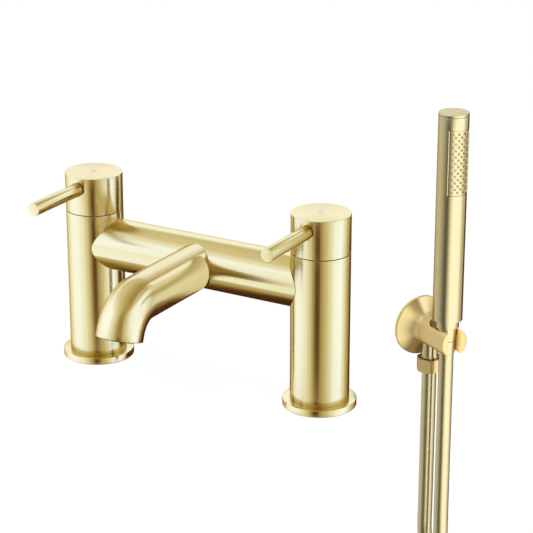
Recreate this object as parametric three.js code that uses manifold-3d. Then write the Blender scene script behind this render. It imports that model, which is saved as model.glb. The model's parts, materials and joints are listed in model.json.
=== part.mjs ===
// A bath set in brushed brass: a deck-mounted bridge filler with two quarter-turn levers and a
// fixed spout, and a wall outlet whose arm holds a pencil handset on its hose.
//
// Millimetres, +Z up. The origin lies on the deck, midway between the two pillars. The spout and
// the levers point to -Y, and the hot pillar stands at -X. The wall outlet is built in a frame of
// its own, with its wall face at y = 0 and its arm along -Y, and is then turned and moved as one.

import * as THREE from 'three';
import { mergeVertices } from 'three/addons/utils/BufferGeometryUtils.js';
import Module from 'manifold-3d';

const wasm = await Module();
wasm.setup();

// ------------------------------------------------------------------ fits shared by all pieces
const FACE_GAP = 0.3; // between faces that rest on each other
const RUNNING_GAP = 0.3; // radial, round anything that turns, slides or is screwed in
const EDGE_BREAK = 0.6; // chamfer on a turned edge
const CUT_MARGIN = 1; // how far a cutting solid passes the face that it cuts

// ------------------------------------------------------------------ deck unit: outer sizes
const PILLAR_CENTRE_DISTANCE = 180;
const PILLAR_DIAMETER = 40;
const PILLAR_HEIGHT = 108.5; // deck to the seam under the lever cap
const FLANGE_DIAMETER = 50;
const FLANGE_THICKNESS = 5;
const CAP_HEIGHT = 26.5;
const CAP_SEAM = 0.4;
const BRIDGE_DIAMETER = 36;
const BRIDGE_AXIS_HEIGHT = 85;
const SPOUT_DIAMETER = 31;
const SPOUT_STRAIGHT = 80; // bridge axis to the start of the bend
const SPOUT_BEND_RADIUS = 24;
const SPOUT_BEND_ANGLE = THREE.MathUtils.degToRad(72);
const SPOUT_NOSE = 4; // straight end after the bend
const LEVER_DIAMETER = 9.2;
const LEVER_REACH = 70.5; // pillar axis to the lever's flat end
const LEVER_DROP = 8.1; // cap top to lever axis

// ------------------------------------------------------------------ deck unit: inside
const BRIDGE_WALL = 3;
const BRIDGE_PORT_DIAMETER = 20;
const SPOUT_WALL = 2;
const TAIL_DIAMETER = 26.4; // G3/4 pipe thread
const TAIL_WALL = 3.4;
const TAIL_DROP = 60; // below the deck surface
const TAIL_SOCKET_DEPTH = 24;
const DECK_THICKNESS = 18; // the bath rim that is clamped
const DECK_WASHER_THICKNESS = 1.6;
const DECK_WASHER_LAND = 1.5; // flange metal between its bore and the washer
const FLANGE_RIM = 2.7; // flange metal outside the washer
const UNDER_WASHER_DIAMETER = 42;
const UNDER_WASHER_THICKNESS = 2.5;
const BACKNUT_ACROSS_FLATS = 36;
const BACKNUT_HEIGHT = 10;
const WATERWAY_DIAMETER = 12;
const SEAT_HEIGHT = 50;
const CHAMBER_DIAMETER = 29;
const SEAT_SEAL_THICKNESS = 2;
const HEADWORK_DIAMETER = 17;
const HEADWORK_WALL = 1.6;
const HEADWORK_LIP = 2.6;
const HEADWORK_COLLAR_HEIGHT = 15;
const HEADWORK_COLLAR_DROP = 1.5; // collar top below the pillar's top face
const HEADWORK_HEX_ACROSS_FLATS = 24;
const HEADWORK_HEX_HEIGHT = 6;
const HEADWORK_WINDOW_HEIGHT = 6;
const HEADWORK_WINDOW_WIDTH = 7;
const DISC_THICKNESS = 3;
const DISC_PORT_DIAMETER = 4;
const DISC_PORT_MARGIN = 1; // disc left outside each port
const SPINDLE_DIAMETER = 7;
const SPINDLE_BAR_WIDTH = 4;
const SPINDLE_BAR_HEIGHT = 3.5;
const SPINDLE_ENGAGEMENT = 9; // length inside the cap's boss
const SPLINE_TEETH = 12;
const SPLINE_DEPTH = 0.5;
const GLAND_NECK_DIAMETER = 11.4;
const GLAND_NECK_LENGTH = 14;
const GLAND_ACROSS_FLATS = 15;
const GLAND_HEAD_HEIGHT = 4;
const CAP_TOP_THICKNESS = 3;
const CAP_WALL = 2.6;
const CAP_BOSS_DIAMETER = 16;
const CAP_BOSS_CLEARANCE = 1;
const LEVER_BOSS_DIAMETER = 13;
const LEVER_STUD_DIAMETER = 6;
const LEVER_STUD_LENGTH = 9;
const LEVER_RECESS_DEPTH = 1;
const LEVER_RECESS_GAP = 0.7;
const GRUB_DIAMETER = 5;
const GRUB_LENGTH = 6;
const GRUB_SOCKET_ACROSS_FLATS = 2.5;
const GRUB_SOCKET_DEPTH = 2.5;
const INDICATOR_DIAMETER = 3;
const INDICATOR_THICKNESS = 0.8;
const FLOW_SLEEVE_LENGTH = 5;
const FLOW_SLEEVE_WALL = 2;
const FLOW_SLEEVE_RECESS = 0.6;
const FLOW_CORE_THICKNESS = 5;
const FLOW_CORE_PROUD = 1; // how far it stands out of the spout's mouth
const FLOW_CELL_DIAMETER = 4.2;
const FLOW_CELL_PITCH = 5;

// ------------------------------------------------------------------ wall outlet: place
const OUTLET_SIDE_DISTANCE = 87; // deck's middle to the outlet's wall centre, towards -X
const OUTLET_BACK_DISTANCE = 525; // towards +Y
const OUTLET_DROP = 158; // below the deck
const OUTLET_TURN = THREE.MathUtils.degToRad(60);

// ------------------------------------------------------------------ wall outlet: sizes
const PLATE_DIAMETER = 58;
const PLATE_RIM_THICKNESS = 3;
const FLARE_LENGTH = 14;
const FLARE_CURVE = 2.2; // power of the concave flare between the rim and the arm
const ARM_DIAMETER = 28;
const ARM_LENGTH = 58;
const RING_COLLAR_DIAMETER = 34;
const RING_COLLAR_WALL = 2.6;
const RING_COLLAR_HEIGHT = 4.5;
const HOLDER_SCREW_DIAMETER = 4;
const HOLDER_SCREW_LENGTH = 4.6;
const HOLDER_SCREW_OFFSET = 2.6; // from the rim's front face
const NIPPLE_DIAMETER = 20.9; // G1/2 pipe thread
const NIPPLE_WALL = 3.3;
const NIPPLE_BEHIND_WALL = 22;
const NIPPLE_DEPTH = 7;
const NIPPLE_SEAL_THICKNESS = 1.6;
const ARM_WATERWAY_DIAMETER = 9;
const SPIGOT_OFFSET = 17.5; // wall to the spigot's axis
const SPIGOT_NECK_DIAMETER = 15.6;
const SPIGOT_ROOT_DIAMETER = 13.8;
const SPIGOT_ROOT_HEIGHT = 7;
const SPIGOT_NECK_LENGTH = 11.5;
const SPIGOT_COLLAR_DIAMETER = 17.6;
const SPIGOT_COLLAR_HEIGHT = 1.8;
const SPIGOT_BORE = 10.4;
const OUTLET_THREAD_DIAMETER = 20.4;
const OUTLET_THREAD_LENGTH = 8.5;
const CHECK_VALVE_LENGTH = 10;
const CHECK_VALVE_WALL = 1.6;
const HOSE_NUT_ACROSS_FLATS = 23;
const HOSE_NUT_HEIGHT = 13;
const HOSE_NUT_FLOOR = 2.2;
const HOSE_NUT_CHAMFER = 0.9;
const HOSE_WASHER_THICKNESS = 1.6;
const HOSE_WASHER_BORE = 9;

// ------------------------------------------------------------------ cradle and handset
const HANDSET_OFFSET = 44.5; // wall to the handset's axis
const HANDSET_TURN = THREE.MathUtils.degToRad(12); // spray face, from straight out of the wall
const HANDSET_DIAMETER = 28.2;
const HANDSET_WALL = 1.8;
const HANDSET_LENGTH = 200;
const HANDSET_FLOOR = 3;
const HANDSET_CAP_THICKNESS = 2.2;
const HANDSET_CAP_PLUG = 6;
const COLLAR_DIAMETER = 22.4;
const COLLAR_HEIGHT = 7;
const COLLAR_BORE = 8;
const COLLAR_NECK_DIAMETER = 12;
const COLLAR_NECK_LENGTH = 12;
const CONE_TOP_DIAMETER = 18.5;
const CONE_BOTTOM_DIAMETER = 17.2;
const CONE_HEIGHT = 13;
const CONE_WALL = 1.5;
const CONE_FLOOR = 2;
const CONE_WASHER_THICKNESS = 1.6;
const SLEEVE_TOP_DIAMETER = 16.4;
const SLEEVE_BOTTOM_DIAMETER = 15.2;
const SLEEVE_LENGTH = 13;
const SLEEVE_BORE = 9;
const CRADLE_GAP = 0.5; // round the cone that sits in the cradle
const CRADLE_SLOT_WIDTH = 15.4;
const CRADLE_POCKET_LENGTH = 12; // how far the pocket's top runs back towards the wall
const CRADLE_POCKET_DEPTH = 10;
const SPRAY_HEIGHT = 62;
const SPRAY_TOP_MARGIN = 14;
const SPRAY_HALF_ANGLE = THREE.MathUtils.degToRad(68);
const SPRAY_THICKNESS = 3.2;
const NOZZLE_MAT_THICKNESS = 1.2;
const WATER_TUBE_DIAMETER = 16;
const WATER_TUBE_WALL = 1.5;
const WATER_TUBE_START = 14; // above the handset's floor

// ------------------------------------------------------------------ hose
const HOSE_DIAMETER = 14;
const COIL_RADIUS = 84; // middle of the turns
const COIL_CENTRE_DROP = 355; // arm axis to the coil's centre
const COIL_ENTRY_ANGLE = THREE.MathUtils.degToRad(60); // bend that lays each run on the coil
const RUN_BEND_ANGLE = THREE.MathUtils.degToRad(30); // share of it that belongs to the run
const TIE_WIDTH = 14;
const TIE_THICKNESS = 1.5;
const TIE_CLEARANCE = 1.2; // lets the flat strap pass round the curved turns

// ------------------------------------------------------------------ roundness
const LARGE_ROUND = 24;
const MEDIUM_ROUND = 16;
const SMALL_ROUND = 12;
const HOSE_SIDES = 10;
const COIL_ROUND = 32;
const HEXAGON = 6;

const BRASS = { color: 0xc9ab62, roughness: 0.32, metalness: 1 };
const PALE_BRASS = { color: 0xc9b478, roughness: 0.34, metalness: 1 };
const RAW_BRASS = { color: 0xb5924c, roughness: 0.45, metalness: 1 };
const HOSE_FINISH = { color: 0xc0ab6c, roughness: 0.3, metalness: 0.6 };
const RUBBER = { color: 0x1d1d1e, roughness: 0.8, metalness: 0 };
const BLACK_PLASTIC = { color: 0x242426, roughness: 0.55, metalness: 0 };
const WHITE_PLASTIC = { color: 0xdedcd5, roughness: 0.5, metalness: 0 };
const CERAMIC = { color: 0xe9e6df, roughness: 0.25, metalness: 0 };
const STEEL = { color: 0x9a9a9c, roughness: 0.4, metalness: 1 };
const HOT_ENAMEL = { color: 0xb3261e, roughness: 0.35, metalness: 0 };
const COLD_ENAMEL = { color: 0x2a56a8, roughness: 0.35, metalness: 0 };

// ------------------------------------------------------------------ heights that follow
const pillarRadius = PILLAR_DIAMETER / 2;
const pillarFoot = FLANGE_THICKNESS + FACE_GAP;
const tailRadius = TAIL_DIAMETER / 2;
const tailBore = tailRadius + RUNNING_GAP;
const tailSocketTop = pillarFoot + TAIL_SOCKET_DEPTH;
const chamberRadius = CHAMBER_DIAMETER / 2;
const capFoot = PILLAR_HEIGHT + CAP_SEAM;
const capTop = capFoot + CAP_HEIGHT;
const leverHeight = capTop - LEVER_DROP;
const headworkRadius = HEADWORK_DIAMETER / 2;
const headworkBore = headworkRadius - HEADWORK_WALL;
const headworkFoot = SEAT_HEIGHT + FACE_GAP + SEAT_SEAL_THICKNESS + FACE_GAP;
const fixedDiscFoot = headworkFoot + HEADWORK_LIP + FACE_GAP;
const turningDiscFoot = fixedDiscFoot + DISC_THICKNESS + FACE_GAP;
const spindleFoot = turningDiscFoot + DISC_THICKNESS + FACE_GAP;
const windowFoot = spindleFoot + SPINDLE_BAR_HEIGHT / 2;
const headworkCoreTop = windowFoot + HEADWORK_WINDOW_HEIGHT + 2 * EDGE_BREAK;
const collarTop = PILLAR_HEIGHT - HEADWORK_COLLAR_DROP;
const headworkTop = collarTop + HEADWORK_HEX_HEIGHT;
const spindleRadius = SPINDLE_DIAMETER / 2;
const spindleBore = spindleRadius + RUNNING_GAP;
const glandFoot = headworkTop + FACE_GAP;
const glandTop = glandFoot + GLAND_HEAD_HEIGHT;
const glandNeckFoot = glandFoot - GLAND_NECK_LENGTH;
const bossFoot = glandTop + CAP_BOSS_CLEARANCE;
const spindleTop = bossFoot + SPINDLE_ENGAGEMENT;
const bossBoreTop = spindleTop + CAP_BOSS_CLEARANCE;
const leverRadius = LEVER_DIAMETER / 2;
const leverShoulder = pillarRadius - LEVER_RECESS_DEPTH;
const spoutBore = SPOUT_DIAMETER / 2 - SPOUT_WALL;

const armRadius = ARM_DIAMETER / 2;
const rimFront = PLATE_RIM_THICKNESS + FACE_GAP;
const collarReach = PLATE_RIM_THICKNESS + RING_COLLAR_HEIGHT;
const nippleSealFoot = NIPPLE_DEPTH + FACE_GAP;
const nippleSocketEnd = nippleSealFoot + NIPPLE_SEAL_THICKNESS + FACE_GAP;
const neckFoot = -armRadius - SPIGOT_NECK_LENGTH;
const spigotCollarFoot = neckFoot - SPIGOT_COLLAR_HEIGHT;
const hoseNutTop = spigotCollarFoot - FACE_GAP;
const hoseNutFoot = hoseNutTop - HOSE_NUT_HEIGHT;
const hoseNutFloorTop = hoseNutFoot + HOSE_NUT_FLOOR;
const hoseWasherFoot = hoseNutFloorTop + FACE_GAP;
const threadFoot = hoseWasherFoot + HOSE_WASHER_THICKNESS + FACE_GAP;
const coneTop = CONE_HEIGHT;
const coneFloorTop = CONE_FLOOR;
const coneWasherFoot = coneFloorTop + FACE_GAP;
const collarThreadFoot = coneWasherFoot + CONE_WASHER_THICKNESS + FACE_GAP;
const collarFoot = coneTop + FACE_GAP;
const bodyFoot = collarFoot + COLLAR_HEIGHT + FACE_GAP;
const bodyTop = bodyFoot + HANDSET_LENGTH - HANDSET_CAP_THICKNESS - FACE_GAP;
const handsetTop = bodyFoot + HANDSET_LENGTH;
const handsetRadius = HANDSET_DIAMETER / 2;
const handsetBore = handsetRadius - HANDSET_WALL;
const sprayTop = handsetTop - SPRAY_TOP_MARGIN;
const sprayFoot = sprayTop - SPRAY_HEIGHT;
const sprayEdge = handsetRadius * Math.cos(SPRAY_HALF_ANGLE);
const sleeveTop = -FACE_GAP;
const sleeveFoot = sleeveTop - SLEEVE_LENGTH;

// ------------------------------------------------------------------ solids from geometries

/** The same closed geometry with shared corners, no slivers and its faces pointing out. */
function welded(geometry) {
  const bare = geometry.index ? geometry.toNonIndexed() : geometry.clone();
  bare.deleteAttribute('normal');
  bare.deleteAttribute('uv');
  const merged = mergeVertices(bare, 1e-4);
  const corners = merged.index.array;
  const triangles = [];
  for (let i = 0; i < corners.length; i += 3) {
    const [a, b, c] = [corners[i], corners[i + 1], corners[i + 2]];
    if (a !== b && b !== c && c !== a) {
      triangles.push(a, b, c);
    }
  }
  if (signedVolume(merged.attributes.position, triangles) < 0) {
    triangles.reverse();
  }
  merged.setIndex(triangles);
  return merged;
}

function signedVolume(positions, triangles) {
  const [a, b, c] = [new THREE.Vector3(), new THREE.Vector3(), new THREE.Vector3()];
  let volume = 0;
  for (let i = 0; i < triangles.length; i += 3) {
    a.fromBufferAttribute(positions, triangles[i]);
    b.fromBufferAttribute(positions, triangles[i + 1]);
    c.fromBufferAttribute(positions, triangles[i + 2]);
    volume += a.dot(b.cross(c)) / 6;
  }
  return volume;
}

function toSolid(geometry) {
  const merged = welded(geometry);
  const mesh = new wasm.Mesh({
    numProp: 3,
    vertProperties: new Float32Array(merged.attributes.position.array),
    triVerts: new Uint32Array(merged.index.array),
  });
  return new wasm.Manifold(mesh);
}

function toGeometry(solid) {
  const mesh = solid.getMesh();
  const geometry = new THREE.BufferGeometry();
  geometry.setAttribute('position', new THREE.BufferAttribute(mesh.vertProperties, 3));
  geometry.setIndex(new THREE.BufferAttribute(mesh.triVerts, 1));
  geometry.computeVertexNormals();
  return geometry;
}

function joined(...geometries) {
  const [first, ...rest] = geometries.map(toSolid);
  return toGeometry(rest.reduce((whole, next) => whole.add(next), first));
}

function cut(geometry, ...tools) {
  const body = toSolid(geometry);
  return toGeometry(tools.map(toSolid).reduce((whole, tool) => whole.subtract(tool), body));
}

function kept(geometry, tool) {
  return toGeometry(toSolid(geometry).intersect(toSolid(tool)));
}

// ------------------------------------------------------------------ basic turned and milled forms

/** Turns a profile of [radius, height] points about +Z. */
function turned(profile, segments = LARGE_ROUND) {
  const points = profile.map(([radius, height]) => new THREE.Vector2(radius, height));
  if (THREE.ShapeUtils.area(points) < 0) {
    points.reverse();
  }
  if (points[0].x > 0) {
    points.push(points[0].clone());
  }
  return new THREE.LatheGeometry(points, segments).rotateX(Math.PI / 2);
}

/** A tube about +Z with chamfered outer edges. */
function ring(inner, outer, foot, top, segments = LARGE_ROUND, chamfer = 0) {
  const profile = [[inner, foot]];
  if (chamfer > 0) {
    profile.push([outer - chamfer, foot], [outer, foot + chamfer]);
    profile.push([outer, top - chamfer], [outer - chamfer, top]);
  } else {
    profile.push([outer, foot], [outer, top]);
  }
  profile.push([inner, top]);
  return turned(profile, segments);
}

/** A solid rod or cone about +Z. */
function rod(footRadius, topRadius, foot, top, segments = MEDIUM_ROUND) {
  return turned([[0, foot], [footRadius, foot], [topRadius, top], [0, top]], segments);
}

function hexagon(acrossFlats, foot, top) {
  const radius = acrossFlats / 2 / Math.cos(Math.PI / HEXAGON);
  return new THREE.CylinderGeometry(radius, radius, top - foot, HEXAGON)
    .rotateX(Math.PI / 2)
    .translate(0, 0, (foot + top) / 2);
}

function block(low, high) {
  const size = high.map((value, axis) => value - low[axis]);
  const middle = high.map((value, axis) => (value + low[axis]) / 2);
  return new THREE.BoxGeometry(...size).translate(...middle);
}

/** Lays a form made about +Z along -Y, so that its foot faces +Y. */
function alongArm(geometry) {
  return geometry.rotateX(Math.PI / 2);
}

/** A hexagonal nut with its corners turned down to a chamfer. */
function nut(acrossFlats, foot, top, chamfer) {
  const flats = acrossFlats / 2;
  const corners = flats / Math.cos(Math.PI / HEXAGON);
  const turnedDown = turned(
    [
      [0, foot],
      [flats, foot],
      [corners, foot + chamfer],
      [corners, top - chamfer],
      [flats, top],
      [0, top],
    ],
    LARGE_ROUND,
  );
  return kept(hexagon(acrossFlats, foot, top), turnedDown);
}

function circleShape(radius, sides) {
  const shape = new THREE.Shape();
  for (let i = 0; i < sides; i += 1) {
    const angle = (2 * Math.PI * i) / sides;
    const [x, y] = [radius * Math.cos(angle), radius * Math.sin(angle)];
    if (i === 0) {
      shape.moveTo(x, y);
    } else {
      shape.lineTo(x, y);
    }
  }
  shape.closePath();
  return shape;
}

function swept(shape, path, steps) {
  return new THREE.ExtrudeGeometry(shape, { steps, bevelEnabled: false, extrudePath: path });
}

function mesh(name, geometry, finish) {
  const part = new THREE.Mesh(welded(geometry), new THREE.MeshStandardMaterial(finish));
  part.name = name;
  return part;
}

// ------------------------------------------------------------------ deck unit: foot and fixings

const flangeBore = tailBore;
const washerInner = flangeBore + DECK_WASHER_LAND;
const washerOuter = FLANGE_DIAMETER / 2 - FLANGE_RIM;

function baseFlange() {
  const recess = DECK_WASHER_THICKNESS + FACE_GAP;
  const outer = FLANGE_DIAMETER / 2;
  return turned([
    [flangeBore, 0],
    [washerInner, 0],
    [washerInner, recess],
    [washerOuter, recess],
    [washerOuter, 0],
    [outer, 0],
    [outer, FLANGE_THICKNESS - EDGE_BREAK],
    [outer - EDGE_BREAK, FLANGE_THICKNESS],
    [flangeBore, FLANGE_THICKNESS],
  ]);
}

function deckWasher() {
  const inner = washerInner + FACE_GAP;
  const outer = washerOuter - FACE_GAP;
  return ring(inner, outer, 0, DECK_WASHER_THICKNESS, MEDIUM_ROUND);
}

function tail() {
  const inner = tailRadius - TAIL_WALL;
  return ring(inner, tailRadius, -TAIL_DROP, tailSocketTop - FACE_GAP, MEDIUM_ROUND, EDGE_BREAK);
}

function underWasher() {
  const top = -DECK_THICKNESS;
  const outer = UNDER_WASHER_DIAMETER / 2;
  return ring(tailBore, outer, top - UNDER_WASHER_THICKNESS, top, MEDIUM_ROUND);
}

function backnut() {
  const top = -DECK_THICKNESS - UNDER_WASHER_THICKNESS - FACE_GAP;
  const foot = top - BACKNUT_HEIGHT;
  const bore = rod(tailBore, tailBore, foot - CUT_MARGIN, top + CUT_MARGIN);
  return cut(nut(BACKNUT_ACROSS_FLATS, foot, top, 2 * EDGE_BREAK), bore);
}

// ------------------------------------------------------------------ deck unit: pillar, bridge, spout

/** The pillar, with its port towards the bridge on the side that inward (+1 or -1) names. */
function pillar(inward) {
  const waterway = WATERWAY_DIAMETER / 2;
  const body = turned([
    [tailBore, pillarFoot],
    [pillarRadius, pillarFoot],
    [pillarRadius, PILLAR_HEIGHT],
    [chamberRadius, PILLAR_HEIGHT],
    [chamberRadius, SEAT_HEIGHT],
    [waterway, SEAT_HEIGHT],
    [waterway, tailSocketTop],
    [tailBore, tailSocketTop],
  ]);
  const radius = BRIDGE_PORT_DIAMETER / 2;
  const port = rod(radius, radius, 0, pillarRadius + CUT_MARGIN)
    .rotateY((inward * Math.PI) / 2)
    .translate(0, 0, BRIDGE_AXIS_HEIGHT);
  return cut(body, port);
}

function bridge() {
  const outer = BRIDGE_DIAMETER / 2;
  const half = PILLAR_CENTRE_DISTANCE / 2;
  const tube = ring(outer - BRIDGE_WALL, outer, -half, half)
    .rotateY(Math.PI / 2)
    .translate(0, 0, BRIDGE_AXIS_HEIGHT);
  const saddles = [-1, 1].map((side) => {
    const radius = pillarRadius + FACE_GAP;
    return rod(radius, radius, 0, capTop, LARGE_ROUND).translate(side * half, 0, 0);
  });
  const spoutHole = rod(spoutBore, spoutBore, 0, outer + CUT_MARGIN)
    .rotateX(Math.PI / 2)
    .translate(0, 0, BRIDGE_AXIS_HEIGHT);
  return cut(tube, ...saddles, spoutHole);
}

/**
 * A centre line that runs straight, bends once and may end in a short straight nose. Its
 * sections lie at the ends of the straight lengths and evenly round the bend.
 */
class BentLine extends THREE.Curve {
  constructor({ straight, radius, angle, nose, bendSteps }, place) {
    super();
    Object.assign(this, { straight, radius, place });
    this.bendLength = radius * angle;
    this.stations = [0];
    for (let i = 0; i <= bendSteps; i += 1) {
      this.stations.push(straight + (this.bendLength * i) / bendSteps);
    }
    if (nose > 0) {
      this.stations.push(straight + this.bendLength + nose);
    }
    this.steps = this.stations.length - 1;
  }

  getUtoTmapping(u) {
    return u;
  }

  getPoint(t) {
    const section = Math.min(Math.floor(t * this.steps), this.steps - 1);
    const [from, to] = [this.stations[section], this.stations[section + 1]];
    const along = THREE.MathUtils.lerp(from, to, t * this.steps - section);
    const straight = Math.min(along, this.straight);
    const bent = THREE.MathUtils.clamp(along - this.straight, 0, this.bendLength);
    const nose = Math.max(along - this.straight - this.bendLength, 0);
    const angle = bent / this.radius;
    const ahead = straight + this.radius * Math.sin(angle) + nose * Math.cos(angle);
    const aside = this.radius * (1 - Math.cos(angle)) + nose * Math.sin(angle);
    return this.place(ahead, aside);
  }
}

/** The spout's centre line: out from the bridge, then bent down. */
function spoutLine() {
  const line = {
    straight: SPOUT_STRAIGHT,
    radius: SPOUT_BEND_RADIUS,
    angle: SPOUT_BEND_ANGLE,
    nose: SPOUT_NOSE,
    bendSteps: 8,
  };
  const place = (ahead, aside) => new THREE.Vector3(0, -ahead, BRIDGE_AXIS_HEIGHT - aside);
  return new BentLine(line, place);
}

function spout() {
  const line = spoutLine();
  const tube = swept(circleShape(SPOUT_DIAMETER / 2, LARGE_ROUND), line, line.steps);
  const bore = swept(circleShape(spoutBore, LARGE_ROUND), line, line.steps);
  const lengthened = joined(bore, noseCutter());
  const clearance = BRIDGE_DIAMETER / 2 + FACE_GAP;
  const half = PILLAR_CENTRE_DISTANCE / 2;
  const saddle = rod(clearance, clearance, -half, half, LARGE_ROUND)
    .rotateY(Math.PI / 2)
    .translate(0, 0, BRIDGE_AXIS_HEIGHT);
  return cut(tube, lengthened, saddle);
}

/** A short plug of the bore's size that runs past the spout's end, so the bore is open. */
function noseCutter() {
  return atNose(rod(spoutBore, spoutBore, -1, 1, LARGE_ROUND));
}

/** Moves a form made about +Z so that its z = 0 is the spout's end and +Z runs up the spout. */
function atNose(geometry) {
  const end = spoutLine().getPoint(1);
  return geometry.rotateX(SPOUT_BEND_ANGLE - Math.PI / 2).translate(end.x, end.y, end.z);
}

function flowSleeve() {
  const outer = spoutBore - RUNNING_GAP;
  const foot = FLOW_SLEEVE_RECESS;
  return atNose(
    ring(outer - FLOW_SLEEVE_WALL, outer, foot, foot + FLOW_SLEEVE_LENGTH, MEDIUM_ROUND),
  );
}

/** The honeycomb that calms the water. */
function flowCore() {
  const radius = spoutBore - RUNNING_GAP - FLOW_SLEEVE_WALL - FACE_GAP;
  const foot = -FLOW_CORE_PROUD;
  const top = foot + FLOW_CORE_THICKNESS;
  const rows = Math.ceil(radius / FLOW_CELL_PITCH);
  const cells = [];
  for (let row = -rows; row <= rows; row += 1) {
    for (let column = -rows; column <= rows; column += 1) {
      const x = (column + row / 2) * FLOW_CELL_PITCH;
      const y = row * FLOW_CELL_PITCH * Math.sin(Math.PI / 3);
      if (Math.hypot(x, y) + FLOW_CELL_DIAMETER / 2 < radius) {
        cells.push(hexagon(FLOW_CELL_DIAMETER, foot - CUT_MARGIN, top + CUT_MARGIN).translate(x, y, 0));
      }
    }
  }
  return atNose(cut(rod(radius, radius, foot, top), ...cells));
}

// ------------------------------------------------------------------ deck unit: headwork

function seatSeal() {
  const foot = SEAT_HEIGHT + FACE_GAP;
  const inner = WATERWAY_DIAMETER / 2 + FACE_GAP;
  return ring(inner, headworkRadius, foot, foot + SEAT_SEAL_THICKNESS, SMALL_ROUND);
}

function headworkBody() {
  const collar = chamberRadius - RUNNING_GAP;
  const collarFoot = collarTop - HEADWORK_COLLAR_HEIGHT;
  const glandBore = GLAND_NECK_DIAMETER / 2 + RUNNING_GAP;
  const core = turned(
    [
      [headworkBore - HEADWORK_WALL, headworkFoot],
      [headworkRadius, headworkFoot],
      [headworkRadius, collarFoot],
      [collar, collarFoot],
      [collar, collarTop],
      [glandBore, collarTop],
      [glandBore, glandNeckFoot - FACE_GAP],
      [spindleBore, glandNeckFoot - FACE_GAP],
      [spindleBore, headworkCoreTop],
      [headworkBore, headworkCoreTop],
      [headworkBore, headworkFoot + HEADWORK_LIP],
      [headworkBore - HEADWORK_WALL, headworkFoot + HEADWORK_LIP],
    ],
    MEDIUM_ROUND,
  );
  const head = cut(
    hexagon(HEADWORK_HEX_ACROSS_FLATS, collarTop, headworkTop),
    rod(glandBore, glandBore, collarTop - CUT_MARGIN, headworkTop + CUT_MARGIN),
  );
  const window = block(
    [-HEADWORK_WINDOW_WIDTH / 2, -chamberRadius, windowFoot],
    [HEADWORK_WINDOW_WIDTH / 2, chamberRadius, windowFoot + HEADWORK_WINDOW_HEIGHT],
  );
  return cut(joined(core, head), window);
}

/** A ceramic disc with two round ports, side by side or one in front of the other. */
function ceramicDisc(foot, portAngle) {
  const radius = headworkBore - RUNNING_GAP;
  const port = DISC_PORT_DIAMETER / 2;
  const offset = radius - port - DISC_PORT_MARGIN;
  const disc = rod(radius, radius, foot, foot + DISC_THICKNESS);
  const ports = [0, Math.PI].map((turn) => {
    const angle = portAngle + turn;
    return rod(port, port, foot - CUT_MARGIN, foot + DISC_THICKNESS + CUT_MARGIN, SMALL_ROUND)
      .translate(offset * Math.cos(angle), offset * Math.sin(angle), 0);
  });
  return cut(disc, ...ports);
}

function spindle() {
  const barHalf = headworkBore - RUNNING_GAP;
  const bar = block(
    [-barHalf, -SPINDLE_BAR_WIDTH / 2, spindleFoot],
    [barHalf, SPINDLE_BAR_WIDTH / 2, spindleFoot + SPINDLE_BAR_HEIGHT],
  );
  const roundBar = kept(bar, rod(barHalf, barHalf, spindleFoot - CUT_MARGIN, glandTop));
  const stem = rod(spindleRadius, spindleRadius, spindleFoot, bossFoot, SMALL_ROUND);
  const spline = splineForm(spindleRadius, bossFoot, spindleTop);
  return joined(roundBar, stem, spline);
}

/** A toothed length of the spindle, or the matching hole when its radius has a gap added. */
function splineForm(radius, foot, top) {
  const shape = new THREE.Shape();
  const points = [];
  for (let i = 0; i < 2 * SPLINE_TEETH; i += 1) {
    const angle = (Math.PI * i) / SPLINE_TEETH;
    const reach = i % 2 === 0 ? radius : radius - SPLINE_DEPTH;
    points.push(new THREE.Vector2(reach * Math.cos(angle), reach * Math.sin(angle)));
  }
  shape.setFromPoints(points);
  return new THREE.ExtrudeGeometry(shape, { depth: top - foot, bevelEnabled: false })
    .translate(0, 0, foot);
}

function glandNut() {
  const neck = GLAND_NECK_DIAMETER / 2;
  const head = joined(
    rod(neck, neck, glandNeckFoot, glandTop),
    hexagon(GLAND_ACROSS_FLATS, glandFoot, glandTop),
  );
  const [foot, top] = [glandNeckFoot - CUT_MARGIN, glandTop + CUT_MARGIN];
  return cut(head, rod(spindleBore, spindleBore, foot, top, SMALL_ROUND));
}

// ------------------------------------------------------------------ deck unit: lever and cap

/** Lays a form made about +Z along -Y or +Y at the lever's height. */
function atLever(geometry, direction = -1) {
  return geometry.rotateX((-direction * Math.PI) / 2).translate(0, 0, leverHeight);
}

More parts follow.
